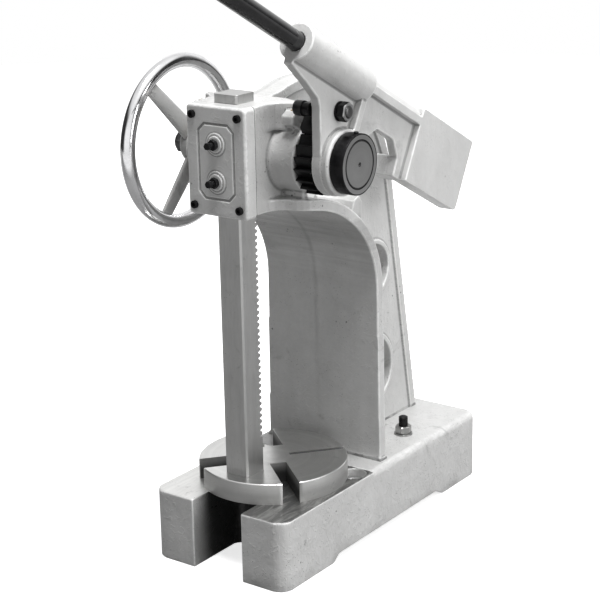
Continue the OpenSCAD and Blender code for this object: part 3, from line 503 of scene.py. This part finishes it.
def throat_marks(net, coords, tone, height):
    """What the mould left on the throat's face: the core's parting line, swaying about its x, with ripples of
    the sand; and painted shade on the face under the head, and on the head's side in front of the ram's back."""
    seam_foot, ripple_foot, shade_foot = 0.22, 0.44, 0.48
    x, y, z = net.split(coords)
    face = y.ramp(THROAT_FACE, THROAT_FACE - 0.0025)
    sway = (net.noise(net.stretch(coords, (0, 0, 7)), 1.0) - 0.5) * 0.012
    off = abs(x + sway - FOLD_X)
    seam = off.ramp(0.008, 0.0) * z.ramp(seam_foot, seam_foot + 0.28, 0.25, 1.0) * face
    seam = seam * net.noise(coords, 30.0).ramp(0.35, 0.60, 0.5, 1.0)
    under = z.ramp(HEAD_LOW, HEAD_LOW - 0.025) * face
    high = z.ramp(ripple_foot, ripple_foot + 0.10) * under
    # painted shade on the throat's face under the head, growing towards it
    painted_shade = z.ramp(shade_foot, shade_foot + 0.12, 0.0, 0.28) * under
    ripple = net.noise(net.stretch(coords, (5, 5, 75), turn=(0, 4, 0)), 1.0, 3.0, 0.55, 0.6)
    # painted shade on the head's side in front of the ram's back
    head = z.ramp(HEAD_LOW - 0.005, HEAD_LOW + 0.015) * z.ramp(HEAD_HIGH, HEAD_HIGH - 0.012)
    head = head * y.ramp(0.045, 0.020, 0.0, 0.15)
    tone = net.shade(tone, 1.0 - seam * 0.20)
    tone = net.shade(tone, 1.0 - painted_shade - head)
    tone = net.shade(tone, 1.0 + (ripple - 0.5) * (high * 0.7))
    return tone, height + seam * 2.2 + ripple * high * 7.0


def bare_seat(net, coords, tone, rough, height):
    """The base's top, milled to bare steel in front of the column, darkened in streaks on the right prong:
    stain streaks with painted shade. The slot between the prongs is darkened inside, more farther in: dirt
    with painted shade. The paint is darker in patches towards the bottom. Gives the changed tone, roughness
    and height, and the mask of the bare steel."""
    x, y, z = net.split(coords)
    bare = z.ramp(SEAT_TOP - 0.0014, SEAT_TOP - 0.0006) * y.ramp(SEAT_END, SEAT_END - 0.001)
    steel = net.use(CUT_METAL, Coords=coords, Marks=net.stretch(coords, (900, 60, 60)),
                    Colour=(0.64, 0.64, 0.63, 1), Roughness=0.42, Stain=2.2)
    # darker in patches towards the bottom
    low_dark = z.ramp(0.035, 0.0) * net.noise(coords, 14.0).ramp(0.40, 0.65)
    # the slot's inside: dirt with painted shade, darker farther in
    slot_dirt_and_shade = abs(x).ramp(SLOT_HALF + 0.0015, SLOT_HALF + 0.0007)
    slot_dirt_and_shade = slot_dirt_and_shade * y.ramp(BASE_FRONT + 0.0005, BASE_FRONT + 0.0025) * y.ramp(SLOT_END + 0.002, SLOT_END)
    slot_dirt_and_shade = slot_dirt_and_shade * y.ramp(BASE_FRONT - 0.002, BASE_FRONT + 0.056, 0.25, 0.93)
    tone = net.shade(net.shade(tone, 1.0 - low_dark * 0.35), 1.0 - slot_dirt_and_shade)
    # the right prong: stain streaks with painted shade
    streak = net.noise(net.stretch(coords, (70, 16, 1), turn=(0, 0, 30)), 1.0, 4.0, 0.7, 0.4)
    stain_and_shade = x.ramp(-0.02, 0.03) * streak.ramp(0.66, 0.42, 0.6, 1.0)
    tone = net.blend(bare, tone, net.shade(steel["Colour"], 1.3 - stain_and_shade * 0.95))
    rough = rough * (1.0 - bare) + steel["Roughness"] * bare
    height = height * (1.0 - bare) + steel["Height"] * (bare * 0.2)
    return tone, rough, height, bare


def paint(name, colour, grain, dirt, bump, coat=0.45, column=False, base=False):
    """Gloss machine paint over a casting, with what shows on the column or on the base alone."""
    mat, net, shader, coords = start_material(name)
    edge = net.add("Attribute")
    edge.attribute_name = "edge"
    skin = net.use(CAST_SKIN, Coords=coords, Colour=(*colour, 1), Grain=grain, Dirt=dirt,
                   Edge=net.out(edge, "Fac"))
    tone, rough, height = skin["Colour"], skin["Roughness"], skin["Height"]
    if column:
        tone = foot_line(net, coords, tone)
        tone, height = throat_marks(net, coords, tone, height)
    if base:
        tone, rough, height, bare = bare_seat(net, coords, tone, rough, height)
        coat = (1.0 - bare) * coat
        net.fill(shader, Metallic=bare)
    net.fill(shader, Base_Color=tone, Roughness=rough, Normal=net.bump(height, bump, 0.0012),
             Coat_Weight=coat, Coat_Roughness=0.15)
    return mat


def fill_steel(net, shader, skin, tone, metal=1.0):
    """Feeds the shader with cut steel in the given tone."""
    net.fill(shader, Base_Color=tone, Roughness=skin["Roughness"], Metallic=metal,
             Normal=net.bump(skin["Height"], 0.12, 0.0003))


def cut(name, colour, rough, run, stain=1.0):
    """Machined or filed steel. run scales the coordinates for the tool marks."""
    mat, net, shader, coords = start_material(name)
    skin = net.use(CUT_METAL, Coords=coords, Marks=net.stretch(coords, run), Colour=(*colour, 1),
                   Roughness=rough, Stain=stain)
    fill_steel(net, shader, skin, skin["Colour"])
    return mat


def plate_steel():
    """The table plate: its face is turned in rings about its axis, its rim is rougher and darker, and the
    walls of its slots and its underside are darkened as painted shade, more so the deeper they are."""
    mat, net, shader, coords = start_material("steel_table")
    far, along = net.about(coords, "Z", (0, TABLE_Y, 0))
    z = net.split(coords)[2]
    top = PLATE_TOP - 0.0012
    rim = z.ramp(top, top - 0.0004)
    skin = net.use(CUT_METAL, Coords=coords, Marks=net.join(far * 520, along * 520),
                   Colour=(0.72, 0.72, 0.71, 1), Roughness=rim * 0.26 + 0.30, Stain=1.0)
    within = far.ramp(PLATE_RADIUS - 0.0010, PLATE_RADIUS - 0.0016)
    # painted shade on the slot walls and underside, deeper further down
    painted_shade = rim * within * z.ramp(top, top - 0.022, 0.45, 0.97)
    tone = net.shade(skin["Colour"], 1.0 - rim * 0.28 - painted_shade * 0.70)
    fill_steel(net, shader, skin, tone, 1.0 - painted_shade * 0.8)
    return mat


def shaft_steel():
    """The pinion shaft, turned in rings, with painted shade in its centre hole and in a ring round the edge of
    its right end.
    """
    mat, net, shader, coords = start_material("steel_turned")
    far, along = net.about(coords, "X", (0, SHAFT_Y, SHAFT_Z))
    skin = net.use(CUT_METAL, Coords=coords, Marks=net.join(far * 900, along * 900),
                   Colour=(0.31, 0.31, 0.31, 1), Roughness=0.36, Stain=0.3)
    tone, metal = skin["Colour"], 1.0
    centre_hole, end_edge, end_x = (-0.0010, 0.0040), (0.0386, 0.0420), 0.200
    # each ring is painted shade: darkened and made less metallic
    for low, high in (centre_hole, end_edge):
        ring = far.ramp(low - 0.0003, low) * far.ramp(high, high + 0.0003, 1.0, 0.0)
        ring = ring * along.ramp(end_x, end_x + 0.004)
        tone = net.shade(tone, 1.0 - ring * 0.93)
        metal = metal - ring
    fill_steel(net, shader, skin, tone, metal)
    return mat


def black(name, colour, dust, metallic=0.05, shine=0.2):
    """Black oxide on steel. shine is the mirror strength, since oxide mirrors less than paint does."""
    mat, net, shader, coords = start_material(name)
    skin = net.use(BLACK_SKIN, Coords=coords, Colour=(*colour, 1), Dust=dust)
    net.fill(shader, Base_Color=skin["Colour"], Roughness=skin["Roughness"], Metallic=metallic,
             Normal=net.bump(skin["Height"], 0.1, 0.0002), Specular_IOR_Level=shine)
    return mat


def polished_black():
    """A blackened bar: fine lengthwise rubs, and a thin film of oil that streaks what it mirrors."""
    mat, net, shader, coords = start_material("bar_black")
    cloud = net.noise(coords, 18.0, 4.0, 0.6)
    rubs = net.noise(net.stretch(coords, (260, 26, 60), turn=(LEVER_RISE, 0, 0)), 1.0, 4.0, 0.7)
    net.fill(shader, Base_Color=net.shade((0.008, 0.008, 0.0085, 1), rubs.ramp(0.25, 0.75, 0.5, 2.2)),
             Roughness=cloud.ramp(0.3, 0.7, 0.12, 0.20), Normal=net.bump(rubs, 0.03, 0.0002),
             Specular_IOR_Level=0.25, Coat_Weight=0.4, Coat_Roughness=0.05)
    return mat


def ringed_face(name, dark, bright, front, inner, outer, centre):
    """Black steel with a machined face: bright where the point lies past the front and between the two radii
    about an axis along X through the centre."""
    mat, net, shader, coords = start_material(name)
    far, along = net.about(coords, "X", centre)
    face = along.ramp(front - 0.0003, front + 0.0003)
    face = face * (far.ramp(outer, outer - 0.0006) * far.ramp(inner, inner + 0.0005))
    skin = net.use(BLACK_SKIN, Coords=coords, Colour=(*dark, 1), Dust=0.4)
    ring = net.use(CUT_METAL, Coords=coords, Marks=net.join(far * 1100), Colour=(*bright, 1), Roughness=0.36,
                   Stain=0.3)
    net.fill(shader, Base_Color=net.blend(face, skin["Colour"], ring["Colour"]),
             Roughness=skin["Roughness"] * (1.0 - face) + ring["Roughness"] * face,
             Metallic=face * 0.8 + 0.2, Normal=net.bump(ring["Height"], 0.1, 0.0002),
             Specular_IOR_Level=0.22)
    return mat


def bright_chrome():
    """Polished plate with faint haze and fine rub marks round the tube."""
    mat, net, shader, coords = start_material("chrome_rim")
    haze = net.noise(coords, 24.0, 5.0, 0.7)
    rubs = net.noise(net.stretch(coords, (900, 60, 60)), 1.0, 3.0, 0.7)
    net.fill(shader, Base_Color=net.shade((0.88, 0.88, 0.89, 1), haze.ramp(0.35, 0.8, 1.0, 0.8)),
             Roughness=haze.ramp(0.35, 0.75, 0.07, 0.2) + rubs * 0.05, Metallic=1.0,
             Normal=net.bump(rubs, 0.03, 0.0002))
    return mat


PAINT = paint("grey_paint", (0.60, 0.60, 0.595), grain=1.1, dirt=1.2, bump=0.32, column=True)
PAINT_BASE = paint("grey_paint_base", (0.60, 0.60, 0.595), grain=1.2, dirt=1.9, bump=0.36, base=True)
PAINT_SMOOTH = paint("grey_paint_smooth", (0.62, 0.62, 0.615), grain=0.7, dirt=0.8, bump=0.28)
PAINT_WHEEL = paint("grey_paint_wheel", (0.40, 0.40, 0.395), grain=0.9, dirt=1.2, bump=0.30)
STEEL_RAM = cut("steel_ram", (0.52, 0.52, 0.515), 0.38, (420, 420, 40))
STEEL_TABLE = plate_steel()
STEEL_TURNED = shaft_steel()
STEEL_NUT = cut("steel_nut", (0.34, 0.34, 0.335), 0.36, (300, 300, 300), stain=0.9)
PIN_END = cut("pin_end", (0.11, 0.11, 0.11), 0.42, (300, 300, 300), stain=0.6)
BRONZE = cut("bronze", (0.36, 0.27, 0.14), 0.38, (400, 400, 400), stain=0.6)
BLACK = black("black_steel", (0.005, 0.005, 0.0055), dust=0.6)
BLACK_SHINY = black("black_steel_oiled", (0.006, 0.006, 0.007), dust=0.3, shine=0.35)
# the gasket's black also serves as painted shade in the cover's joint
BLACK_GASKET_SHADE = black("gasket_shade", (0.010, 0.010, 0.010), dust=0.2, metallic=0.0)
NUT_DULL = black("wheel_nut_dull", (0.10, 0.10, 0.10), dust=0.8, metallic=0.8)
BAR_BLACK = polished_black()
CHROME = bright_chrome()
# its face stays black inside the inner radius, which joins the shaft's dark end ring as painted shade
COLLAR = ringed_face("collar_face", (0.004, 0.004, 0.0045), (0.31, 0.31, 0.31), front=0.2105,
                     inner=0.0422, outer=0.0500, centre=(0, SHAFT_Y, SHAFT_Z))
PAWL_NUT = ringed_face("pawl_nut_face", (0.005, 0.005, 0.0055), (0.42, 0.42, 0.42), front=0.1893,
                       inner=0.0100, outer=0.0175, centre=lever_point(0, PAWL_PIN_U, PAWL_PIN_V))

# What a made piece is: its finish, the body that it rides and its slot
FRAME_BLACK = (BLACK, "frame", "blackened")
FRAME_GASKET_SHADE = (BLACK_GASKET_SHADE, "frame", "blackened")
FRAME_STEEL = (STEEL_NUT, "frame", "machined")
LEVER_STEEL = (PIN_END, "lever", "machined")
LEVER_BLACK = (PAWL_NUT, "lever", "blackened")
DRIVE_BLACK = (NUT_DULL, "drive", "blackened")
DRIVE_CHROME = (CHROME, "drive", "chrome")


# Surfaces

def add_piece(name, points, faces, role, sharp=35.0):
    """Makes a mesh from arrays of points and faces, joins its seams and turns its faces outwards. role is its
    finish, its body and its slot; the slot is not used."""
    material, body, slot = role
    mesh = bpy.data.meshes.new(name)
    mesh.from_pydata(points.tolist(), [], [list(f) for f in faces])
    work = bmesh.new()
    work.from_mesh(mesh)
    bmesh.ops.remove_doubles(work, verts=work.verts, dist=1e-6)
    bmesh.ops.dissolve_degenerate(work, dist=1e-7, edges=work.edges)
    bmesh.ops.recalc_face_normals(work, faces=work.faces)
    work.to_mesh(mesh)
    work.free()
    mesh.polygons.foreach_set("use_smooth", np.ones(len(mesh.polygons), bool))
    mesh.set_sharp_from_angle(angle=math.radians(sharp))
    mesh.materials.append(material)
    piece = bpy.data.objects.new(name, mesh)
    bpy.context.scene.collection.objects.link(piece)
    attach(piece, body)
    return piece


def grid_faces(rows, columns, wrap_rows=False):
    """Quads of a grid whose point (i, j) has the number i * columns + j. Its columns close into a tube."""
    i = np.arange(rows if wrap_rows else rows - 1)[:, None]
    j = np.arange(columns)[None, :]
    below, beside = (i + 1) % rows, (j + 1) % columns
    corners = [i * columns + j, below * columns + j, below * columns + beside, i * columns + beside]
    return np.stack(corners, -1).reshape(-1, 4)


def turned(name, profile, place, role, columns=64, limit=None, sharp=35.0):
    """A turned shape: each profile point (radius, along) sweeps a circle. limit, given the angle, holds the
    radius down, which cuts flats. The first and last points meet or lie on the axis, so the skin closes."""
    profile = np.asarray(profile, float)
    angle = np.linspace(0, TAU, columns, endpoint=False)
    radius = np.repeat(profile[:, :1], columns, 1)
    if limit is not None:
        radius = np.minimum(radius, limit(angle)[None, :])
    along = np.repeat(profile[:, 1:], columns, 1)
    points = place(along, radius * np.cos(angle), radius * np.sin(angle)).reshape(-1, 3)
    return add_piece(name, points, grid_faces(len(profile), columns), role, sharp)


def hexagon(flats, turn=0.0):
    """Distance from the centre to a hexagon's side in each direction: half the width over flats divided by
    the cosine of the angle from the nearest side's middle."""
    return lambda angle: flats / 2 / np.cos((angle - turn + math.pi / 6) % (math.pi / 3) - math.pi / 6)


def hex_nut(name, place, role, low, high, flats, bore=0.0, turn=0.0):
    """A nut, or a bolt head where the bore is 0: a turned blank whose corners are coned at both ends, cut to
    a hexagon. A nut's bore has a small countersink."""
    corner = flats / math.sqrt(3)
    face = flats / 2 * 0.97
    rise = (corner - face) * 0.6
    edge = 0.06 * (high - low)
    mouth = bore + edge if bore else 0.0
    rows = [(mouth, low), (face, low), (corner, low + rise)]
    rows += [(corner, low + (high - low) * share) for share in (0.35, 0.65)]
    rows += [(corner, high - rise), (face, high), (mouth, high)]
    if bore:
        rows += [(bore, high - edge), (bore, low + edge), rows[0]]
    return turned(name, rows, place, role, 72, hexagon(flats, turn), sharp=28.0)


def threaded_rod(name, place, role, before, after, start, end, radius, pitch, columns=40):
    """A rod whose stretch from start to end carries a screw thread: the radius falls from the crest by a
    triangle wave of the distance along the axis less the turn's share of the pitch, and the thread fades over
    one pitch at each end. Plain profile points go before and after it."""
    depth = 0.55 * pitch
    before, after = np.asarray(before, float), np.asarray(after, float)
    along = np.linspace(start, end, max(6, int((end - start) / pitch * 6)) + 1)
    angle = np.linspace(0, TAU, columns, endpoint=False)
    phase = (along[:, None] - start) / pitch - angle[None, :] / TAU
    wave = np.abs((phase % 1.0) * 2 - 1)
    fade = np.clip(np.minimum(along - start, end - along) / pitch, 0, 1)[:, None]
    middle = radius - depth * (1 - np.clip(wave * 1.25, 0, 1)) * fade
    plain = [np.repeat(rows[:, :1], columns, 1) for rows in (before, after)]
    radii = np.concatenate([plain[0], middle, plain[1]])
    alongs = np.concatenate([before[:, 1], along, after[:, 1]])
    alongs = np.repeat(alongs[:, None], columns, 1)
    points = place(alongs, radii * np.cos(angle), radii * np.sin(angle)).reshape(-1, 3)
    return add_piece(name, points, grid_faces(len(alongs), columns), role, sharp=50.0)


def vertex_array(mesh, label):
    """The named vector of every vertex, as rows of three."""
    values = np.empty(len(mesh.vertices) * 3)
    mesh.vertices.foreach_get(label, values)
    return values.reshape(-1, 3)


def edge_feel(mesh, reach=0.010):
    """Stores how outward-curved the skin is at each vertex, from -1 to 1: the mean over its edges of twice
    the neighbour's dip below the tangent plane, divided by the edge's length squared, times the reach."""
    count = len(mesh.vertices)
    points, normals = vertex_array(mesh, "co"), vertex_array(mesh, "normal")
    edges = np.empty(len(mesh.edges) * 2, int)
    mesh.edges.foreach_get("vertices", edges)
    a, b = edges.reshape(-1, 2).T
    step = points[b] - points[a]
    far = np.maximum((step ** 2).sum(1), 1e-9)
    bend_a = -(step * normals[a]).sum(1) / far * 2
    bend_b = (step * normals[b]).sum(1) / far * 2
    total = np.bincount(a, bend_a, count) + np.bincount(b, bend_b, count)
    number = np.bincount(a, minlength=count) + np.bincount(b, minlength=count)
    layer = mesh.attributes.new("edge", "FLOAT", "POINT")
    layer.data.foreach_set("value", np.clip(total / np.maximum(number, 1) * reach, -1, 1))


def cast_skin(node, material, cell, passes, keep, change=None):
    """A casting's skin: the solid on a grid of cells, each point then drawn towards its neighbours' mean, so
    edges and inside corners take the same small radius, and thinned to the share keep. It stands in for the
    node. change, if given, alters the welded solid first."""
    source = frame["nodes"][node]
    mesh = source.data.copy()
    work = bmesh.new()
    work.from_mesh(mesh)
    bmesh.ops.remove_doubles(work, verts=work.verts, dist=2e-6)
    if change:
        change(work)
    work.to_mesh(mesh)
    work.free()
    piece = bpy.data.objects.new("cast_" + node, mesh)
    bpy.context.scene.collection.objects.link(piece)
    remesh = piece.modifiers.new("cells", "REMESH")
    remesh.mode = "VOXEL"
    remesh.voxel_size = cell
    remesh.use_smooth_shade = True
    smooth = piece.modifiers.new("soften", "SMOOTH")
    smooth.factor = 0.5
    smooth.iterations = passes
    thin = piece.modifiers.new("thin", "DECIMATE")
    thin.ratio = keep
    bpy.context.view_layer.update()
    done = bpy.data.meshes.new_from_object(piece.evaluated_get(bpy.context.evaluated_depsgraph_get()))
    piece.modifiers.clear()
    piece.data = done
    done.materials.clear()
    done.materials.append(material)
    done.polygons.foreach_set("use_smooth", np.ones(len(done.polygons), bool))
    edge_feel(done)
    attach(piece, body_of(source)[0])
    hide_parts(node)


def dress(node, material, bevel):
    """Gives a CAD node its finish, and a fine rounding on its edges where bevel is the width."""
    piece = frame["nodes"][node]
    piece.data.materials.clear()
    piece.data.materials.append(material)
    if bevel:
        weld = piece.modifiers.new("weld", "WELD")
        weld.merge_threshold = 2e-6
        edge = piece.modifiers.new("bevel", "BEVEL")
        edge.width = bevel
        edge.segments = 2
        edge.limit_method = "ANGLE"
        edge.angle_limit = math.radians(32.0)
        edge.harden_normals = True


# The press

def fill_foot_pocket(work):
    """Fills the pocket that takes the column's foot, since paint hides that seam."""
    half_width, front, back, floor = 0.114, 0.2450, 0.5490, 0.100
    spots = [(x, y, z) for x in (-half_width, half_width) for y in (front, back) for z in (floor, BASE_TOP)]
    new = [work.verts.new(p) for p in spots]
    for loop in ((0, 1, 3, 2), (4, 6, 7, 5), (0, 4, 5, 1), (2, 3, 7, 6), (0, 2, 6, 4), (1, 5, 7, 3)):
        work.faces.new([new[i] for i in loop])


def sink_foot(work):
    """Lowers the column's foot into the filled base, so that only its flange and web meet the base's top."""
    for vert in work.verts:
        if vert.co.z < BASE_TOP + 1e-5:
            vert.co.z -= 0.004


def make_castings():
    """Base, column, cover, lever and handwheel spider get soft cast skins."""
    cast_skin("base_casting", PAINT_BASE, 0.0019, 4, 0.33, change=fill_foot_pocket)
    cast_skin("column_casting", PAINT, 0.0020, 6, 0.30, change=sink_foot)
    cast_skin("cover_plate", PAINT_SMOOTH, 0.0010, 3, 0.40)
    cast_skin("lever_casting", PAINT_SMOOTH, 0.0015, 5, 0.38)
    cast_skin("handwheel_spider", PAINT_WHEEL, 0.0012, 4, 0.50)


def make_plain_parts():
    """Machined pieces keep their exact solids, with a fine bevel and their finish."""
    for material, bevel, nodes in (
            (STEEL_TABLE, 0.0008, ["table_plate"]),
            (STEEL_RAM, 0.0006, ["ram"]),
            (STEEL_TURNED, 0.0005, ["pinion_shaft"]),
            (COLLAR, 0.0005, ["end_collar"]),
            (BAR_BLACK, 0.0, ["lever_bar"]),
            (BLACK_SHINY, 0.0006, ["pawl_knob"]),
            (BLACK, 0.0008, ["ratchet_wheel", "pawl"]),
            (BLACK, 0.0005, ["collar_screw"]),
            (BLACK, 0.0004, ["pawl_washer", "bar_screw"]),
            (BLACK, 0.0, ["foot_bolts"]),
            (STEEL_NUT, 0.0004, ["column_washers", "handwheel_washer"]),
            (STEEL_NUT, 0.0, ["gib_strip", "table_pivot_pin", "ratchet_key", "handwheel_key"]),
            (BRONZE, 0.0004, ["right_bush", "left_bush", "oilers"])):
        for node in nodes:
            dress(node, material, bevel)


def make_stud(side, x):
    """A stud with its nut, beside the web: plain below, threaded above, with a domed end."""
    place = frame_z(x, 0.388, 0.0)
    foot, shank, thread_low, thread_high, tip = 0.0741, 0.0089, 0.1205, 0.1682, 0.1699
    before = [(0, foot), (shank - 0.0004, foot), (shank, foot + 0.0019), (shank, thread_low - 0.0005)]
    after = [(0.0080, tip - 0.0009), (0.0066, tip), (0, tip)]
    stud = threaded_rod("stud_" + side, place, FRAME_BLACK, before, after, thread_low, thread_high,
                        radius=0.00895, pitch=0.0022)
    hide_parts("column_studs")
    nut = hex_nut("stud_nut_" + side, place, FRAME_STEEL, 0.1361, 0.1509, flats=0.028, bore=0.0091, turn=0.35)
    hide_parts("column_nuts")


def make_cover_screw(name, x, z):
    """A round-headed screw of the cover, with a round recess in its head."""
    recess, head, shank = 0.0034, 0.0069, 0.0040
    front, floor, seat, tip = -0.0592, -0.0550, -0.0533, -0.0048
    profile = [(0, floor), (recess, floor), (recess + 0.0002, front + 0.0003), (head - 0.0011, front),
               (head - 0.0001, front + 0.0006), (head, front + 0.0014), (head, seat - 0.0001), (shank, seat),
               (shank - 0.0001, tip - 0.0002), (0, tip)]
    screw = turned(name, profile, frame_y(x, 0.0, z), FRAME_BLACK, 48)
    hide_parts("cover_screws")


def make_gib_screw(row, z):
    """An adjusting screw of the gib strip: a small hexagon in front, a thread, and its lock nut."""
    place = frame_y(0.0, 0.0, z)
    front, neck, thread_front, thread_back, tip = -0.0782, -0.0702, -0.0698, -0.0340, -0.0333
    before = [(0, front), (0.0036, front), (0.0044, front + 0.0007), (0.0044, neck), (0.0049, neck + 0.0002)]
    after = [(0.0042, tip), (0, tip)]
    screw = threaded_rod("gib_screw_" + row, place, FRAME_BLACK, before, after, thread_front, thread_back,
                         radius=0.00495, pitch=0.0012, columns=32)
    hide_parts("gib_screws")
    head = hex_nut("gib_screw_head_" + row, place, FRAME_BLACK, -0.0783, -0.0704, flats=0.011)
    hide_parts("gib_screws")
    nut = hex_nut("gib_nut_" + row, place, FRAME_BLACK, -0.0652, -0.0574, flats=0.017, bore=0.0050, turn=0.3)
    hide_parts("gib_lock_nuts")


def make_pawl_pin():
    """The pawl's pin and its nut: a round head on the lever's inner side, and a thread with a domed end on its
    outer side."""
    place = lever_axis_x(PAWL_PIN_U, PAWL_PIN_V)
    head, shank = 0.0149, 0.0099
    back, step, thread_low, thread_high, tip = 0.1171, 0.1198, 0.1752, 0.1922, 0.1939
    before = [(0, back), (head - 0.0009, back), (head, back + 0.0007), (head, step - 0.0006),
              (head - 0.0006, step - 0.0001), (shank, step), (shank, thread_low - 0.0004)]
    after = [(0.0092, tip - 0.0011), (0.0078, tip - 0.0004), (0.0045, tip), (0, tip)]
    pin = threaded_rod("pawl_pin_body", place, LEVER_STEEL, before, after, thread_low, thread_high,
                       radius=0.00995, pitch=0.0018)
    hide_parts("pawl_pin")
    nut = hex_nut("pawl_pin_nut", place, LEVER_BLACK, 0.1751, 0.1909, flats=0.030, bore=0.0101, turn=0.22)
    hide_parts("pawl_nut")


def make_fasteners():
    """Threads, coned hexagons and domed ends for every visible screw, stud and nut."""
    stud_x, cover_x, cover_low, cover_high, gib_rise = 0.090, 0.04825, 0.669, 0.825, 0.0325
    sides = (("left", -1), ("right", 1))
    for side, sign in sides:
        make_stud(side, sign * stud_x)
    for row, cover_z, rise in (("low", cover_low, -gib_rise), ("high", cover_high, gib_rise)):
        for side, sign in sides:
            make_cover_screw("cover_screw_%s_%s" % (row, side), sign * cover_x, cover_z)
        make_gib_screw(row, SHAFT_Z + rise)
    make_pawl_pin()
    nut = hex_nut("wheel_nut", frame_x(0.0, SHAFT_Y, SHAFT_Z), DRIVE_BLACK, -0.1729, -0.1551, flats=0.036,
                  bore=0.0121, turn=0.4)
    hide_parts("handwheel_nut")


def make_gasket_shade():
    """The dark joint between cover and head: a thin black gasket plate, which also stands as painted shade in
    the joint, shows as a line round the cover. Its outline is four quarter circles, joined by straight sides."""
    corner, half_x, mid_z, half_z = 0.0066, 0.0629, 0.747, 0.0949
    front, back = -0.0273, -0.0259
    turn = np.radians(np.add.outer([0, 90, 180, 270], np.linspace(0, 90, 8)))
    x = np.array([[1], [-1], [-1], [1]]) * (half_x - corner) + corner * np.cos(turn)
    z = np.array([[1], [1], [-1], [-1]]) * (half_z - corner) + corner * np.sin(turn) + mid_z
    count = x.size
    points = np.concatenate([np.stack([x.ravel(), np.full(count, y), z.ravel()], -1) for y in (front, back)])
    faces = [[i, (i + 1) % count, count + (i + 1) % count, count + i] for i in range(count)]
    faces += [list(range(count)), list(range(count, 2 * count))[::-1]]
    add_piece("cover_gasket_shade", points, faces, FRAME_GASKET_SHADE)


def make_rim():
    """The handwheel's rim is a ring: a small circle carried round the wheel's axis on a large one."""
    wheel_x, ring_radius, tube_radius = -0.172, 0.144, 0.013
    rows, columns = 160, 32
    turn = np.linspace(0, TAU, rows, endpoint=False)[:, None]
    tube = np.linspace(0, TAU, columns, endpoint=False)[None, :]
    far = ring_radius + tube_radius * np.cos(tube)
    points = np.stack([wheel_x + tube_radius * np.sin(tube) + 0 * turn, SHAFT_Y + far * np.cos(turn),
                       SHAFT_Z + far * np.sin(turn)], -1).reshape(-1, 3)
    rim = add_piece("bright_rim", points, grid_faces(rows, columns, wrap_rows=True), DRIVE_CHROME, sharp=80.0)
    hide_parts("handwheel_rim")


aim_camera()
light_studio()
lay_floor()
make_castings()
make_plain_parts()
make_fasteners()
make_gasket_shade()
make_rim()
